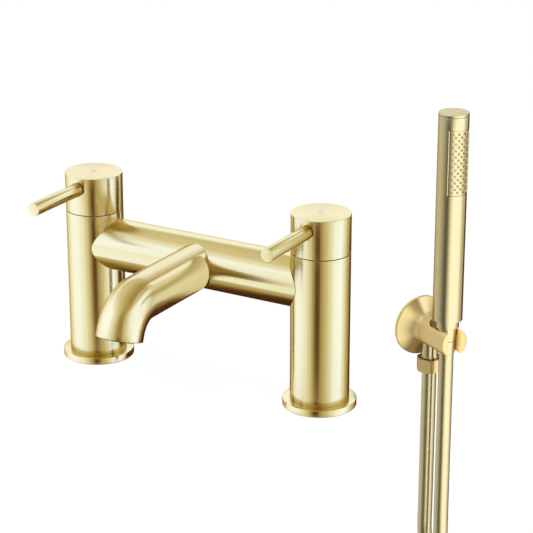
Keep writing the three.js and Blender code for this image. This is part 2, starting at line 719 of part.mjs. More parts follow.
function handleCap() {
  const inner = pillarRadius - CAP_WALL;
  const ceiling = capTop - CAP_TOP_THICKNESS;
  const bossRadius = CAP_BOSS_DIAMETER / 2;
  const shell = turned([
    [inner, capFoot],
    [pillarRadius, capFoot],
    [pillarRadius, capTop - EDGE_BREAK],
    [pillarRadius - EDGE_BREAK, capTop],
    [0, capTop],
    [0, bossFoot],
    [bossRadius, bossFoot],
    [bossRadius, ceiling],
    [inner, ceiling],
  ]);
  const leverBoss = kept(
    atLever(rod(LEVER_BOSS_DIAMETER / 2, LEVER_BOSS_DIAMETER / 2, 0, pillarRadius)),
    rod(inner + CAP_WALL / 2, inner + CAP_WALL / 2, bossFoot, ceiling + CUT_MARGIN),
  );
  const stud = LEVER_STUD_DIAMETER / 2 + RUNNING_GAP;
  const studEnd = leverShoulder - LEVER_STUD_LENGTH - FACE_GAP;
  const recess = leverRadius + LEVER_RECESS_GAP;
  const grub = GRUB_DIAMETER / 2 + RUNNING_GAP;
  const indicator = INDICATOR_DIAMETER / 2 + FACE_GAP;
  return cut(
    joined(shell, leverBoss),
    splineForm(spindleRadius + RUNNING_GAP, bossFoot - CUT_MARGIN, bossBoreTop),
    atLever(rod(stud, stud, studEnd, pillarRadius + CUT_MARGIN, SMALL_ROUND)),
    atLever(rod(recess, recess, leverShoulder, pillarRadius + CUT_MARGIN)),
    atGrub(rod(grub, grub, 0, pillarRadius + CUT_MARGIN, SMALL_ROUND)),
    rod(indicator, indicator, capTop - INDICATOR_THICKNESS - FACE_GAP, capTop + CUT_MARGIN, SMALL_ROUND),
  );
}

function lever() {
  const stud = LEVER_STUD_DIAMETER / 2;
  const shoulder = leverShoulder + FACE_GAP;
  return atLever(
    turned(
      [
        [0, leverShoulder - LEVER_STUD_LENGTH],
        [stud, leverShoulder - LEVER_STUD_LENGTH],
        [stud, shoulder],
        [leverRadius, shoulder],
        [leverRadius, LEVER_REACH - EDGE_BREAK / 2],
        [leverRadius - EDGE_BREAK / 2, LEVER_REACH],
        [0, LEVER_REACH],
      ],
      MEDIUM_ROUND,
    ),
  );
}

/** Lays a form made about +Z along +Y, through the middle of the spindle's toothed length. */
function atGrub(geometry) {
  return geometry.rotateX(-Math.PI / 2).translate(0, 0, (bossFoot + spindleTop) / 2);
}

/** The socket screw at the back of the cap that grips the spindle. */
function capGrubScrew() {
  const start = spindleRadius + 2 * FACE_GAP;
  return atGrub(socketScrew(GRUB_DIAMETER, start, GRUB_LENGTH));
}

function socketScrew(diameter, start, length) {
  const radius = diameter / 2;
  const end = start + length;
  const socket = hexagon(GRUB_SOCKET_ACROSS_FLATS, end - GRUB_SOCKET_DEPTH, end + CUT_MARGIN);
  return cut(rod(radius, radius, start, end, SMALL_ROUND), socket);
}

function indicator() {
  const top = capTop;
  const radius = INDICATOR_DIAMETER / 2;
  return rod(radius, radius, top - INDICATOR_THICKNESS, top, SMALL_ROUND);
}

// ------------------------------------------------------------------ wall outlet: holder

/** The disc that is fixed to the wall, with the collar that the holder fits over. */
function wallRing() {
  const bore = NIPPLE_DIAMETER / 2 + RUNNING_GAP;
  const rim = PLATE_DIAMETER / 2;
  const collar = RING_COLLAR_DIAMETER / 2;
  return alongArm(
    turned([
      [bore, 0],
      [rim, 0],
      [rim, PLATE_RIM_THICKNESS - EDGE_BREAK],
      [rim - EDGE_BREAK, PLATE_RIM_THICKNESS],
      [collar, PLATE_RIM_THICKNESS],
      [collar, collarReach],
      [collar - RING_COLLAR_WALL, collarReach],
      [collar - RING_COLLAR_WALL, PLATE_RIM_THICKNESS],
      [bore, PLATE_RIM_THICKNESS],
    ]),
  );
}

/** Radius of the holder's concave flare at a distance from the wall. */
function flareRadius(distance) {
  const share = THREE.MathUtils.clamp((distance - rimFront) / FLARE_LENGTH, 0, 1);
  const spread = PLATE_DIAMETER / 2 - EDGE_BREAK - armRadius;
  return armRadius + spread * (1 - share) ** FLARE_CURVE;
}

/** The holder's outside, with its round faces moved out by a gap if one is given. */
function holderForm(gap = 0) {
  const flareSteps = 6;
  const profile = [[0, rimFront]];
  for (let i = 0; i <= flareSteps; i += 1) {
    const distance = rimFront + (FLARE_LENGTH * i) / flareSteps;
    profile.push([flareRadius(distance) + gap, distance]);
  }
  profile.push([armRadius + gap, ARM_LENGTH - EDGE_BREAK / 2]);
  profile.push([armRadius - EDGE_BREAK / 2 + gap, ARM_LENGTH]);
  profile.push([0, ARM_LENGTH]);
  return alongArm(turned(profile));
}

/** Everything that is bored out of the holder for water and for the wall ring. */
function waterCutters() {
  const collar = RING_COLLAR_DIAMETER / 2 + RUNNING_GAP;
  const nipple = NIPPLE_DIAMETER / 2 + RUNNING_GAP;
  const waterway = ARM_WATERWAY_DIAMETER / 2;
  const root = SPIGOT_ROOT_DIAMETER / 2 + RUNNING_GAP;
  const rootTop = -armRadius + SPIGOT_ROOT_HEIGHT + FACE_GAP;
  return [
    alongArm(rod(collar, collar, 0, collarReach + FACE_GAP)),
    alongArm(rod(nipple, nipple, 0, nippleSocketEnd)),
    alongArm(rod(waterway, waterway, 0, SPIGOT_OFFSET, SMALL_ROUND)),
    rod(waterway, waterway, -armRadius, waterway, SMALL_ROUND).translate(0, -SPIGOT_OFFSET, 0),
    rod(root, root, neckFoot, rootTop).translate(0, -SPIGOT_OFFSET, 0),
  ];
}

/** The tapered seat, the pocket above it and the slot that the hose passes through. */
function cradleCutters() {
  const top = CONE_TOP_DIAMETER / 2 + CRADLE_GAP;
  const foot = SLEEVE_BOTTOM_DIAMETER / 2 + CRADLE_GAP;
  const slot = CRADLE_SLOT_WIDTH / 2;
  const high = armRadius + CUT_MARGIN;
  const pocketFoot = armRadius - CRADLE_POCKET_DEPTH;
  const pocketEnd = HANDSET_OFFSET - CRADLE_POCKET_LENGTH;
  return [
    rod(foot, top, -high, high).translate(0, -HANDSET_OFFSET, 0),
    rod(top, top, pocketFoot, high).translate(0, -HANDSET_OFFSET, 0),
    rod(top, top, pocketFoot, high).translate(0, -pocketEnd, 0),
    block([-top, -HANDSET_OFFSET, pocketFoot], [top, -pocketEnd, high]),
    block([-slot, -ARM_LENGTH - CUT_MARGIN, -high], [slot, -HANDSET_OFFSET, high]),
  ];
}

/** Lays a form made about +Z downwards at the holder's locking screw. */
function atHolderScrew(geometry) {
  return geometry.rotateX(Math.PI).translate(0, -rimFront - HOLDER_SCREW_OFFSET, 0);
}

function holderBody() {
  const screw = HOLDER_SCREW_DIAMETER / 2 + RUNNING_GAP;
  const screwHole = atHolderScrew(rod(screw, screw, armRadius, PLATE_DIAMETER / 2, SMALL_ROUND));
  return cut(holderForm(), ...waterCutters(), ...cradleCutters(), screwHole);
}

function holderScrew() {
  const start = RING_COLLAR_DIAMETER / 2 + RUNNING_GAP;
  return atHolderScrew(socketScrew(HOLDER_SCREW_DIAMETER, start, HOLDER_SCREW_LENGTH));
}

function wallNipple() {
  const outer = NIPPLE_DIAMETER / 2;
  const inner = outer - NIPPLE_WALL;
  return alongArm(
    ring(inner, outer, -NIPPLE_BEHIND_WALL, NIPPLE_DEPTH, MEDIUM_ROUND, EDGE_BREAK),
  );
}

function nippleSeal() {
  const outer = NIPPLE_DIAMETER / 2;
  const top = nippleSealFoot + NIPPLE_SEAL_THICKNESS;
  return alongArm(ring(outer - NIPPLE_WALL, outer, nippleSealFoot, top, SMALL_ROUND));
}

// ------------------------------------------------------------------ wall outlet: spigot and hose nut

function outletSpigot() {
  const bore = SPIGOT_BORE / 2;
  const neck = SPIGOT_NECK_DIAMETER / 2;
  const root = SPIGOT_ROOT_DIAMETER / 2;
  const rootTop = -armRadius + SPIGOT_ROOT_HEIGHT;
  const collar = SPIGOT_COLLAR_DIAMETER / 2;
  const thread = OUTLET_THREAD_DIAMETER / 2;
  const threadTop = threadFoot + OUTLET_THREAD_LENGTH;
  const outside = turned(
    [
      [0, threadFoot],
      [thread, threadFoot],
      [thread, threadTop],
      [neck, threadTop],
      [neck, spigotCollarFoot],
      [collar, spigotCollarFoot],
      [collar, neckFoot],
      [neck, neckFoot],
      [neck, 0],
      [0, 0],
    ],
    MEDIUM_ROUND,
  ).translate(0, -SPIGOT_OFFSET, 0);
  const saddled = cut(outside, holderForm(FACE_GAP));
  const stem = rod(root, root, neckFoot, rootTop).translate(0, -SPIGOT_OFFSET, 0);
  const hole = rod(bore, bore, threadFoot - CUT_MARGIN, rootTop + CUT_MARGIN, SMALL_ROUND)
    .translate(0, -SPIGOT_OFFSET, 0);
  return cut(joined(saddled, stem), hole);
}

function checkValve() {
  const outer = SPIGOT_BORE / 2 - RUNNING_GAP;
  const top = -armRadius;
  return ring(outer - CHECK_VALVE_WALL, outer, top - CHECK_VALVE_LENGTH, top, SMALL_ROUND)
    .translate(0, -SPIGOT_OFFSET, 0);
}

function hoseNut() {
  const thread = OUTLET_THREAD_DIAMETER / 2 + RUNNING_GAP;
  const hose = SPIGOT_BORE / 2;
  return cut(
    nut(HOSE_NUT_ACROSS_FLATS, hoseNutFoot, hoseNutTop, HOSE_NUT_CHAMFER),
    rod(thread, thread, hoseNutFloorTop, hoseNutTop + CUT_MARGIN),
    rod(hose, hose, hoseNutFoot - CUT_MARGIN, hoseNutFloorTop + CUT_MARGIN, SMALL_ROUND),
  ).translate(0, -SPIGOT_OFFSET, 0);
}

function hoseNutWasher() {
  const outer = OUTLET_THREAD_DIAMETER / 2;
  const inner = HOSE_WASHER_BORE / 2;
  const top = hoseWasherFoot + HOSE_WASHER_THICKNESS;
  return ring(inner, outer, hoseWasherFoot, top, SMALL_ROUND).translate(0, -SPIGOT_OFFSET, 0);
}

// ------------------------------------------------------------------ handset

function coneNut() {
  const bore = CONE_BOTTOM_DIAMETER / 2 - CONE_WALL;
  return turned(
    [
      [SLEEVE_BORE / 2, 0],
      [CONE_BOTTOM_DIAMETER / 2, 0],
      [CONE_TOP_DIAMETER / 2, coneTop],
      [bore, coneTop],
      [bore, coneFloorTop],
      [SLEEVE_BORE / 2, coneFloorTop],
    ],
    MEDIUM_ROUND,
  );
}

function coneWasher() {
  const outer = CONE_BOTTOM_DIAMETER / 2 - CONE_WALL - RUNNING_GAP;
  const top = coneWasherFoot + CONE_WASHER_THICKNESS;
  return ring(SLEEVE_BORE / 2, outer, coneWasherFoot, top, SMALL_ROUND);
}

function hoseSleeve() {
  return turned(
    [
      [SLEEVE_BORE / 2, sleeveFoot],
      [SLEEVE_BOTTOM_DIAMETER / 2, sleeveFoot],
      [SLEEVE_TOP_DIAMETER / 2, sleeveTop],
      [SLEEVE_BORE / 2, sleeveTop],
    ],
    MEDIUM_ROUND,
  );
}

function handsetCollar() {
  const bore = COLLAR_BORE / 2;
  const thread = CONE_BOTTOM_DIAMETER / 2 - CONE_WALL - RUNNING_GAP;
  const outer = COLLAR_DIAMETER / 2;
  const neck = COLLAR_NECK_DIAMETER / 2;
  const top = collarFoot + COLLAR_HEIGHT;
  return turned(
    [
      [bore, collarThreadFoot],
      [thread, collarThreadFoot],
      [thread, collarFoot],
      [outer, collarFoot],
      [outer, top],
      [neck, top],
      [neck, top + COLLAR_NECK_LENGTH],
      [bore, top + COLLAR_NECK_LENGTH],
    ],
    MEDIUM_ROUND,
  );
}

/** A block that covers the spray opening, set back from its edges by the gap. */
function sprayZone(gap) {
  const wide = handsetRadius + CUT_MARGIN;
  return block([-wide, -wide, sprayFoot + gap], [wide, -sprayEdge - gap, sprayTop - gap]);
}

function handsetBody() {
  const neckBore = COLLAR_NECK_DIAMETER / 2 + RUNNING_GAP;
  const floor = bodyFoot + HANDSET_FLOOR;
  const tube = turned([
    [neckBore, bodyFoot],
    [handsetRadius - EDGE_BREAK, bodyFoot],
    [handsetRadius, bodyFoot + EDGE_BREAK],
    [handsetRadius, bodyTop],
    [handsetBore, bodyTop],
    [handsetBore, floor],
    [neckBore, floor],
  ]);
  return cut(tube, sprayZone(0));
}

function sprayPlate() {
  const inner = handsetRadius - SPRAY_THICKNESS;
  return kept(ring(inner, handsetRadius, sprayFoot, sprayTop), sprayZone(FACE_GAP));
}

function nozzleMat() {
  const outer = handsetRadius - SPRAY_THICKNESS - FACE_GAP;
  const inner = outer - NOZZLE_MAT_THICKNESS;
  const foot = sprayFoot + HANDSET_WALL;
  const top = sprayTop - HANDSET_WALL;
  return kept(ring(inner, outer, foot, top, MEDIUM_ROUND), sprayZone(FACE_GAP));
}

function waterTube() {
  const outer = WATER_TUBE_DIAMETER / 2;
  const foot = bodyFoot + HANDSET_FLOOR + WATER_TUBE_START;
  return ring(outer - WATER_TUBE_WALL, outer, foot, sprayTop, SMALL_ROUND);
}

function handsetCap() {
  const plug = handsetBore - RUNNING_GAP;
  const foot = bodyTop + FACE_GAP;
  return turned([
    [0, foot - HANDSET_CAP_PLUG],
    [plug, foot - HANDSET_CAP_PLUG],
    [plug, foot],
    [handsetRadius, foot],
    [handsetRadius, handsetTop - EDGE_BREAK],
    [handsetRadius - EDGE_BREAK, handsetTop],
    [0, handsetTop],
  ]);
}

// ------------------------------------------------------------------ hose

const bendTop = -COIL_CENTRE_DROP + 2 * COIL_RADIUS * Math.sin(COIL_ENTRY_ANGLE);

/** One run of hose: straight down from its fitting, then bending out to one side. */
function hoseRun(side, offset, top) {
  const straight = top - bendTop;
  const line = { straight, radius: COIL_RADIUS, angle: RUN_BEND_ANGLE, nose: 0, bendSteps: 4 };
  const place = (ahead, aside) => new THREE.Vector3(side * aside, -offset, top - ahead);
  return swept(circleShape(HOSE_DIAMETER / 2, HOSE_SIDES), new BentLine(line, place), 5);
}

/** The short end of the coil that carries on from a run and lies down on the turns. */
function coilLead(side, offset) {
  const onBend = (angle) => {
    const aside = COIL_RADIUS * (1 - Math.cos(angle));
    return new THREE.Vector3(side * aside, -offset, bendTop - COIL_RADIUS * Math.sin(angle));
  };
  const start = onBend(RUN_BEND_ANGLE + FACE_GAP / COIL_RADIUS);
  const finish = onBend(COIL_ENTRY_ANGLE);
  const reach = COIL_RADIUS * Math.tan((COIL_ENTRY_ANGLE - RUN_BEND_ANGLE) / 2);
  const heading = new THREE.Vector3(Math.sin(RUN_BEND_ANGLE) * side, 0, -Math.cos(RUN_BEND_ANGLE));
  const middle = start.clone().addScaledVector(heading, reach);
  const line = new THREE.QuadraticBezierCurve3(start, middle, finish);
  return swept(circleShape(HOSE_DIAMETER / 2, HOSE_SIDES), line, 3);
}

/** The outer shape of the turns, with the ends that lead into the two runs. */
function hoseCoil() {
  const tube = HOSE_DIAMETER / 2;
  const near = SPIGOT_OFFSET - tube;
  const far = HANDSET_OFFSET + tube;
  const turns = alongArm(
    ring(COIL_RADIUS - tube, COIL_RADIUS + tube, near, far, COIL_ROUND, tube / 2),
  ).translate(0, 0, -COIL_CENTRE_DROP);
  return joined(turns, coilLead(1, SPIGOT_OFFSET), coilLead(-1, HANDSET_OFFSET));
}

/** The strap that holds the turns together at the bottom of the coil. */
function hoseTie() {
  const tube = HOSE_DIAMETER / 2;
  const near = -SPIGOT_OFFSET + tube + TIE_CLEARANCE;
  const far = -HANDSET_OFFSET - tube - TIE_CLEARANCE;
  const low = -COIL_CENTRE_DROP - COIL_RADIUS - tube - TIE_CLEARANCE;
  const high = -COIL_CENTRE_DROP - COIL_RADIUS + tube + TIE_CLEARANCE;
  const half = TIE_WIDTH / 2;
  const outside = block(
    [-half, far - TIE_THICKNESS, low - TIE_THICKNESS],
    [half, near + TIE_THICKNESS, high + TIE_THICKNESS],
  );
  return cut(outside, block([-half - CUT_MARGIN, far, low], [half + CUT_MARGIN, near, high]));
}

// ------------------------------------------------------------------ assembly

const SIDES = [
  { name: 'left', side: -1, enamel: HOT_ENAMEL },
  { name: 'right', side: 1, enamel: COLD_ENAMEL },
];

/** One pillar of the deck unit with its fixings, headwork and lever cap. */
function pillarGroup({ name, side, enamel }) {
  const group = new THREE.Group();
  group.position.x = (side * PILLAR_CENTRE_DISTANCE) / 2;
  group.add(
    mesh(`base_flange_${name}`, baseFlange(), BRASS),
    mesh(`deck_washer_${name}`, deckWasher(), RUBBER),
    mesh(`threaded_tail_${name}`, tail(), RAW_BRASS),
    mesh(`under_deck_washer_${name}`, underWasher(), RUBBER),
    mesh(`backnut_${name}`, backnut(), RAW_BRASS),
    mesh(`pillar_${name}`, pillar(-side), BRASS),
    mesh(`seat_seal_${name}`, seatSeal(), RUBBER),
    mesh(`headwork_body_${name}`, headworkBody(), RAW_BRASS),
    mesh(`fixed_disc_${name}`, ceramicDisc(fixedDiscFoot, 0), CERAMIC),
    mesh(`turning_disc_${name}`, ceramicDisc(turningDiscFoot, Math.PI / 2), CERAMIC),
    mesh(`spindle_${name}`, spindle(), RAW_BRASS),
    mesh(`gland_nut_${name}`, glandNut(), RAW_BRASS),
    mesh(`handle_cap_${name}`, handleCap(), BRASS),
    mesh(`lever_${name}`, lever(), BRASS),
    mesh(`cap_screw_${name}`, capGrubScrew(), STEEL),
    mesh(`indicator_${name}`, indicator(), enamel),
  );
  return group;
}

function deckUnit() {
  const group = new THREE.Group();
  group.add(
    mesh('bridge', bridge(), BRASS),
    mesh('spout', spout(), BRASS),
    mesh('flow_sleeve', flowSleeve(), BLACK_PLASTIC),
    mesh('flow_core', flowCore(), BLACK_PLASTIC),
  );
  for (const side of SIDES) {
    group.add(pillarGroup(side));
  }
  return group;
}

/** The pieces on the handset's axis, made about +Z with the spray to -Y. */
function handsetGroup() {
  const group = new THREE.Group();
  group.position.y = -HANDSET_OFFSET;
  group.rotation.z = HANDSET_TURN;
  group.add(
    mesh('cone_nut', coneNut(), PALE_BRASS),
    mesh('cone_washer', coneWasher(), RUBBER),
    mesh('hose_sleeve', hoseSleeve(), PALE_BRASS),
    mesh('handset_collar', handsetCollar(), PALE_BRASS),
    mesh('handset_body', handsetBody(), PALE_BRASS),
    mesh('spray_plate', sprayPlate(), PALE_BRASS),
    mesh('nozzle_mat', nozzleMat(), RUBBER),
    mesh('water_tube', waterTube(), WHITE_PLASTIC),
    mesh('handset_cap', handsetCap(), PALE_BRASS),
  );
  return group;
}

function outletUnit() {
  const group = new THREE.Group();
  group.position.set(-OUTLET_SIDE_DISTANCE, OUTLET_BACK_DISTANCE, -OUTLET_DROP);
  group.rotation.z = OUTLET_TURN;
  group.add(
    mesh('wall_ring', wallRing(), PALE_BRASS),
    mesh('holder_body', holderBody(), PALE_BRASS),
    mesh('holder_screw', holderScrew(), STEEL),
    mesh('wall_nipple', wallNipple(), RAW_BRASS),
    mesh('nipple_seal', nippleSeal(), RUBBER),
    mesh('outlet_spigot', outletSpigot(), PALE_BRASS),
    mesh('check_valve', checkValve(), WHITE_PLASTIC),
    mesh('hose_nut', hoseNut(), PALE_BRASS),
    mesh('hose_nut_washer', hoseNutWasher(), RUBBER),
    mesh('hose_outlet_run', hoseRun(1, SPIGOT_OFFSET, hoseNutFoot - FACE_GAP), HOSE_FINISH),
    mesh('hose_coil', hoseCoil(), HOSE_FINISH),
    mesh('hose_tie', hoseTie(), BLACK_PLASTIC),
    mesh('hose_handset_run', hoseRun(-1, HANDSET_OFFSET, sleeveFoot - FACE_GAP), HOSE_FINISH),
    handsetGroup(),
  );
  return group;
}

const bathSet = new THREE.Group();
bathSet.add(deckUnit(), outletUnit());

export default bathSet;
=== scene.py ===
"""Dresses the brushed-brass bath set: a deck-mounted bridge filler, and a wall outlet with its
pencil handset and hose. Lengths are in metres, +Z is up, and the origin lies on the bath deck
midway between the pillars."""

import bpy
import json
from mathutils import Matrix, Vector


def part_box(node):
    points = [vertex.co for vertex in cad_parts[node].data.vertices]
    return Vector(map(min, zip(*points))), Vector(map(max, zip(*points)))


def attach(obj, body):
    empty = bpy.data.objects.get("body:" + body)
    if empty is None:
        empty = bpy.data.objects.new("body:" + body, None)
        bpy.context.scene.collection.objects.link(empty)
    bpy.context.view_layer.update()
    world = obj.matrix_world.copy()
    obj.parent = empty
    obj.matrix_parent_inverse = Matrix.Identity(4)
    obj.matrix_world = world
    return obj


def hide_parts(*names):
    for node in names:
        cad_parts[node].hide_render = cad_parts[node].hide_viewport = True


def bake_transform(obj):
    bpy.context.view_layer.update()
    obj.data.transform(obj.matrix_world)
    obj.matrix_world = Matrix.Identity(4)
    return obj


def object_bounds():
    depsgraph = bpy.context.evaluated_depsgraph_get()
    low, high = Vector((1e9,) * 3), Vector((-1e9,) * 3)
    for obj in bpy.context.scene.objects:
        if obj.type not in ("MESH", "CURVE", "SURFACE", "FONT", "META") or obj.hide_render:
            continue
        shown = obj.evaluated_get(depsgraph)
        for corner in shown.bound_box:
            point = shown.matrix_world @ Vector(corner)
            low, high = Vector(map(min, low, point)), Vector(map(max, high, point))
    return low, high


bl_info = {
    "name": "Brushed-Brass Bath Set",
    "version": (1, 0, 0),
    "blender": (4, 5, 0),
    "location": "3D View > Sidebar > Bath Set",
    "description": "Builds the fine surfaces, finishes, stage and camera of a bath set",
    "category": "Object",
}

import json
import math

import bmesh
import bpy
from mathutils import Matrix, Vector

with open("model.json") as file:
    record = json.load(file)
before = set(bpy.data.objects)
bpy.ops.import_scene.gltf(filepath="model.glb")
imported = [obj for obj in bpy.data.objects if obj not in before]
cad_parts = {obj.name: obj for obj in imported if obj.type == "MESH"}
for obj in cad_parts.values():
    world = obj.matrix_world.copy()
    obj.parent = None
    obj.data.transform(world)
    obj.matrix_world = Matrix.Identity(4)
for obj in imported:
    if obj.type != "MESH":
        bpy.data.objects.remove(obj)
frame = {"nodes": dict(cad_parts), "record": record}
CAD_LOW, CAD_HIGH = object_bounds()

SIDES = ("left", "right")
STEPS = 96  # faces round a small turned piece
FINE_STEPS = 192  # faces round a large one
JOINT_GAP = 0.0003
SEAM = 0.00004  # gap where two pieces meet in a visible line
PAST = 0.001  # how far a cutter stands out of what it cuts
WELD_DISTANCE = 0.000002
SHARP_EDGE = math.radians(32.0)
KEY_FLATS = 0.0025  # across the flats of a socket screw's key
REFLECTOR_STRENGTH = 6.0
HAZE_STARTS = 1.47  # the tone over which warm light turns whiter
DECK_SIZE = (0.238, 0.30)
DECK_MIDDLE = (-0.006, -0.075, -0.0002)
FLOOR_SIZE = 14.0

# Body, material slot and, where it isn't the slot's own, finish of a piece.
DECK_BRASS = ("fixtures", "brushed_brass")
OUTLET_BRASS = ("fixtures", "pale_brass")
OUTLET_SATIN = ("fixtures", "pale_brass", "satin_brass")
HANDSET_BRASS = ("handset", "pale_brass")
HOSE_END_BRASS = ("hose_end", "pale_brass")
RAW_BRASS = ("fixtures", "raw_brass")
RUBBER = ("fixtures", "rubber")
TIE_PLASTIC = ("fixtures", "black_plastic")


# ---------------------------------------------------------------- places read from the frame


def centre(node):
    """Middle of a CAD node's box."""
    low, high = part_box(node)
    return (low + high) / 2


def foot(node):
    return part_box(node)[0].z


def top(node):
    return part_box(node)[1].z


def span(node, level=0.0):
    """A CAD node's lowest and highest points above a level."""
    return foot(node) - level, top(node) - level


def width(node):
    low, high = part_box(node)
    return high.x - low.x


def thickness(node):
    """Diameter of a node that lies level."""
    return top(node) - foot(node)


def shifted(place, x=0.0, y=0.0, z=0.0):
    return place @ Matrix.Translation((x, y, z))


def tilted(place, degrees):
    """The place turned about its own X axis; +90 takes +Z to -Y."""
    return place @ Matrix.Rotation(math.radians(degrees), 4, "X")


def pillar_place(side):
    """Frame on the deck at a pillar's axis."""
    middle = centre(f"pillar_{side}")
    return Matrix.Translation((middle.x, middle.y, 0.0))


def outlet_turn():
    """Angle about Z between -Y and the way the outlet's arm points."""
    out = centre("handset_collar") - centre("hose_nut")
    return math.atan2(out.x, -out.y)


def outlet_place(settings):
    """Frame on the wall at the outlet's arm, with its arm along -Y."""
    out = centre("handset_collar") - centre("hose_nut")
    out.z = 0.0
    wall = centre("hose_nut") - out.normalized() * settings.spigot_offset
    wall.z = centre("wall_ring").z
    return Matrix.Translation(wall) @ Matrix.Rotation(outlet_turn(), 4, "Z")


def handset_place(settings):
    """Frame on the handset's axis at the height of the arm, with the spray towards -Y."""
    middle = centre("handset_collar")
    middle.z = centre("wall_ring").z
    turn = outlet_turn() + settings.spray_turn
    return Matrix.Translation(middle) @ Matrix.Rotation(turn, 4, "Z")


# ---------------------------------------------------------------- settings


def number(name, description, default, **more):
    return bpy.props.FloatProperty(name=name, description=description, default=default, **more)


def length(name, description, default):
    return number(name, description, default, unit="LENGTH", precision=4)


def angle(name, description, degrees):
    return number(name, description, math.radians(degrees), subtype="ANGLE")


def share(name, description, default):
    return number(name, description, default, min=0.0, max=1.0, subtype="FACTOR")


def colour(name, description, default):
    return bpy.props.FloatVectorProperty(
        name=name, description=description, default=default, size=3, min=0.0, subtype="COLOR"
    )


def count(name, description, default, least=1):
    return bpy.props.IntProperty(name=name, description=description, default=default, min=least)


def group(kind, name, description):
    return bpy.props.PointerProperty(type=kind, name=name, description=description)


class DeckUnitSettings(bpy.types.PropertyGroup):
    """Sizes of the deck unit that its CAD boxes don't give."""

    bridge_height: length("Bridge height", "Deck to the bridge's axis", 0.085)
    bridge_wall: length("Bridge wall", "Thickness of the bridge tube", 0.003)
    bridge_port: length("Bridge port", "Radius of the port between pillar and bridge", 0.010)
    pillar_wall: length("Pillar wall", "Metal round the valve chamber", 0.0055)
    waterway: length("Waterway", "Radius of the bore below the valve", 0.006)
    tail_wall: length("Tail wall", "Metal of the threaded tails", 0.0034)
    cap_wall: length("Cap wall", "Thickness of the lever cap's skirt", 0.0026)
    cap_lap: length("Cap lap", "How far the cap's skirt narrows the seam below it", 0.00012)
    cap_top: length("Cap top", "Thickness of the lever cap's top", 0.003)
    stud_radius: length("Lever stud", "Radius of the stud that holds a lever", 0.003)
    spout_wall: length("Spout wall", "Thickness of the spout tube", 0.002)
    spout_straight: length("Spout straight", "Bridge axis to the spout's bend", 0.08)
    spout_bend_radius: length("Spout bend radius", "Radius of the bend's centre line", 0.024)
    spout_bend_angle: angle("Spout bend", "Angle that the spout bends down", 72.0)
    spout_nose: length("Spout nose", "Straight end after the bend", 0.004)
    edge_radius: length("Edge radius", "Softening of turned edges", 0.0006)
    recess_depth: length("Lever recess", "Depth of the ring round the lever's root", 0.001)
    recess_gap: length("Recess gap", "Width of the ring round the lever's root", 0.0014)
    thread_pitch: length("Thread pitch", "Pitch of the pipe thread on the tails", 0.001814)


class OutletSettings(bpy.types.PropertyGroup):
    """Sizes of the wall outlet that its CAD boxes don't give."""

    plate_radius: length("Plate radius", "Radius of the round plate on the wall", 0.029)
    ring_collar: length("Ring collar", "Radius of the wall ring's collar", 0.017)
    nipple_radius: length("Nipple radius", "Radius of the threaded wall nipple", 0.01045)
    nipple_drop: length("Nipple drop", "Length of the nipple behind the wall", 0.022)
    screw_offset: length("Screw offset", "Wall to the holder's locking screw", 0.0059)
    spigot_offset: length("Spigot offset", "Wall to the spigot's axis", 0.0175)
    spigot_neck: length("Spigot neck", "Radius of the neck under the arm", 0.0078)
    spigot_collar: length("Spigot collar", "Radius of the ring above the nut", 0.0088)
    spigot_root: length("Spigot root", "Radius of the spigot inside the arm", 0.0069)
    nut_flats: length("Nut width", "Across the flats of the hose nut", 0.023)
    handset_offset: length("Handset offset", "Wall to the handset's axis", 0.0445)
    arm_radius: length("Arm radius", "Radius of the holder's arm", 0.014)
    arm_length: length("Arm length", "Wall to the arm's end face", 0.058)
    flare_length: length("Flare length", "Length of the curve between rim and arm", 0.014)
    flare_curve: number("Flare curve", "Power of the concave flare", 2.2, min=1.0)
    rim_thickness: length("Rim thickness", "Thickness of the wall ring's rim", 0.003)
    slot_width: length("Slot width", "Width of the slot in the arm's end", 0.0154)
    pocket_length: length("Pocket length", "How far the pocket runs towards the wall", 0.012)
    pocket_depth: length("Pocket depth", "Depth of the pocket in the arm's top", 0.010)
    seat_top: length("Seat top", "Radius of the tapered seat at the arm's top", 0.00975)
    seat_foot: length("Seat foot", "Radius of the tapered seat at the arm's underside", 0.0081)
    thread_pitch: length("Thread pitch", "Pitch of the wall nipple's thread", 0.001814)


class HandsetSettings(bpy.types.PropertyGroup):
    """Sizes of the handset and layout of its spray face."""

    body_wall: length("Body wall", "Thickness of the handset's tube", 0.0018)
    edge_radius: length("Edge radius", "Softening of turned edges", 0.0006)
    cone_top: length("Cone top", "Upper radius of the cone nut", 0.00925)
    cone_foot: length("Cone foot", "Lower radius of the cone nut", 0.0086)
    sleeve_top: length("Sleeve top", "Upper radius of the hose sleeve", 0.0082)
    sleeve_foot: length("Sleeve foot", "Lower radius of the hose sleeve", 0.0076)
    sleeve_bore: length("Sleeve bore", "Radius of the waterway in the fitting", 0.0045)
    spray_turn: angle("Spray turn", "Turn of the spray face from the arm's direction", 12.0)
    spray_half_angle: angle("Spray half angle", "Half of the spray plate's arc", 68.0)
    nozzle_columns: count("Nozzle columns", "Columns of nozzles round the plate", 9)
    nozzle_rows: count("Nozzle rows", "Nozzles in an outer column", 10)
    column_angle: angle("Column angle", "Angle between neighbouring columns", 12.0)
    row_pitch: length("Row pitch", "Distance between nozzles in a column", 0.0061)
    nozzle_radius: length("Nozzle radius", "Radius of a nozzle's raised tip", 0.00098)
    nozzle_hole: length("Nozzle hole", "Radius of a nozzle's hole", 0.00068)
    nozzle_height: length("Nozzle height", "How far a nozzle stands off the plate", 0.0009)
    spray_recess: length("Spray recess", "How far the plate's face lies below the tube", 0.0003)
    spray_bead: length("Spray bead", "Radius of the bead on the plate's long edges", 0.0007)


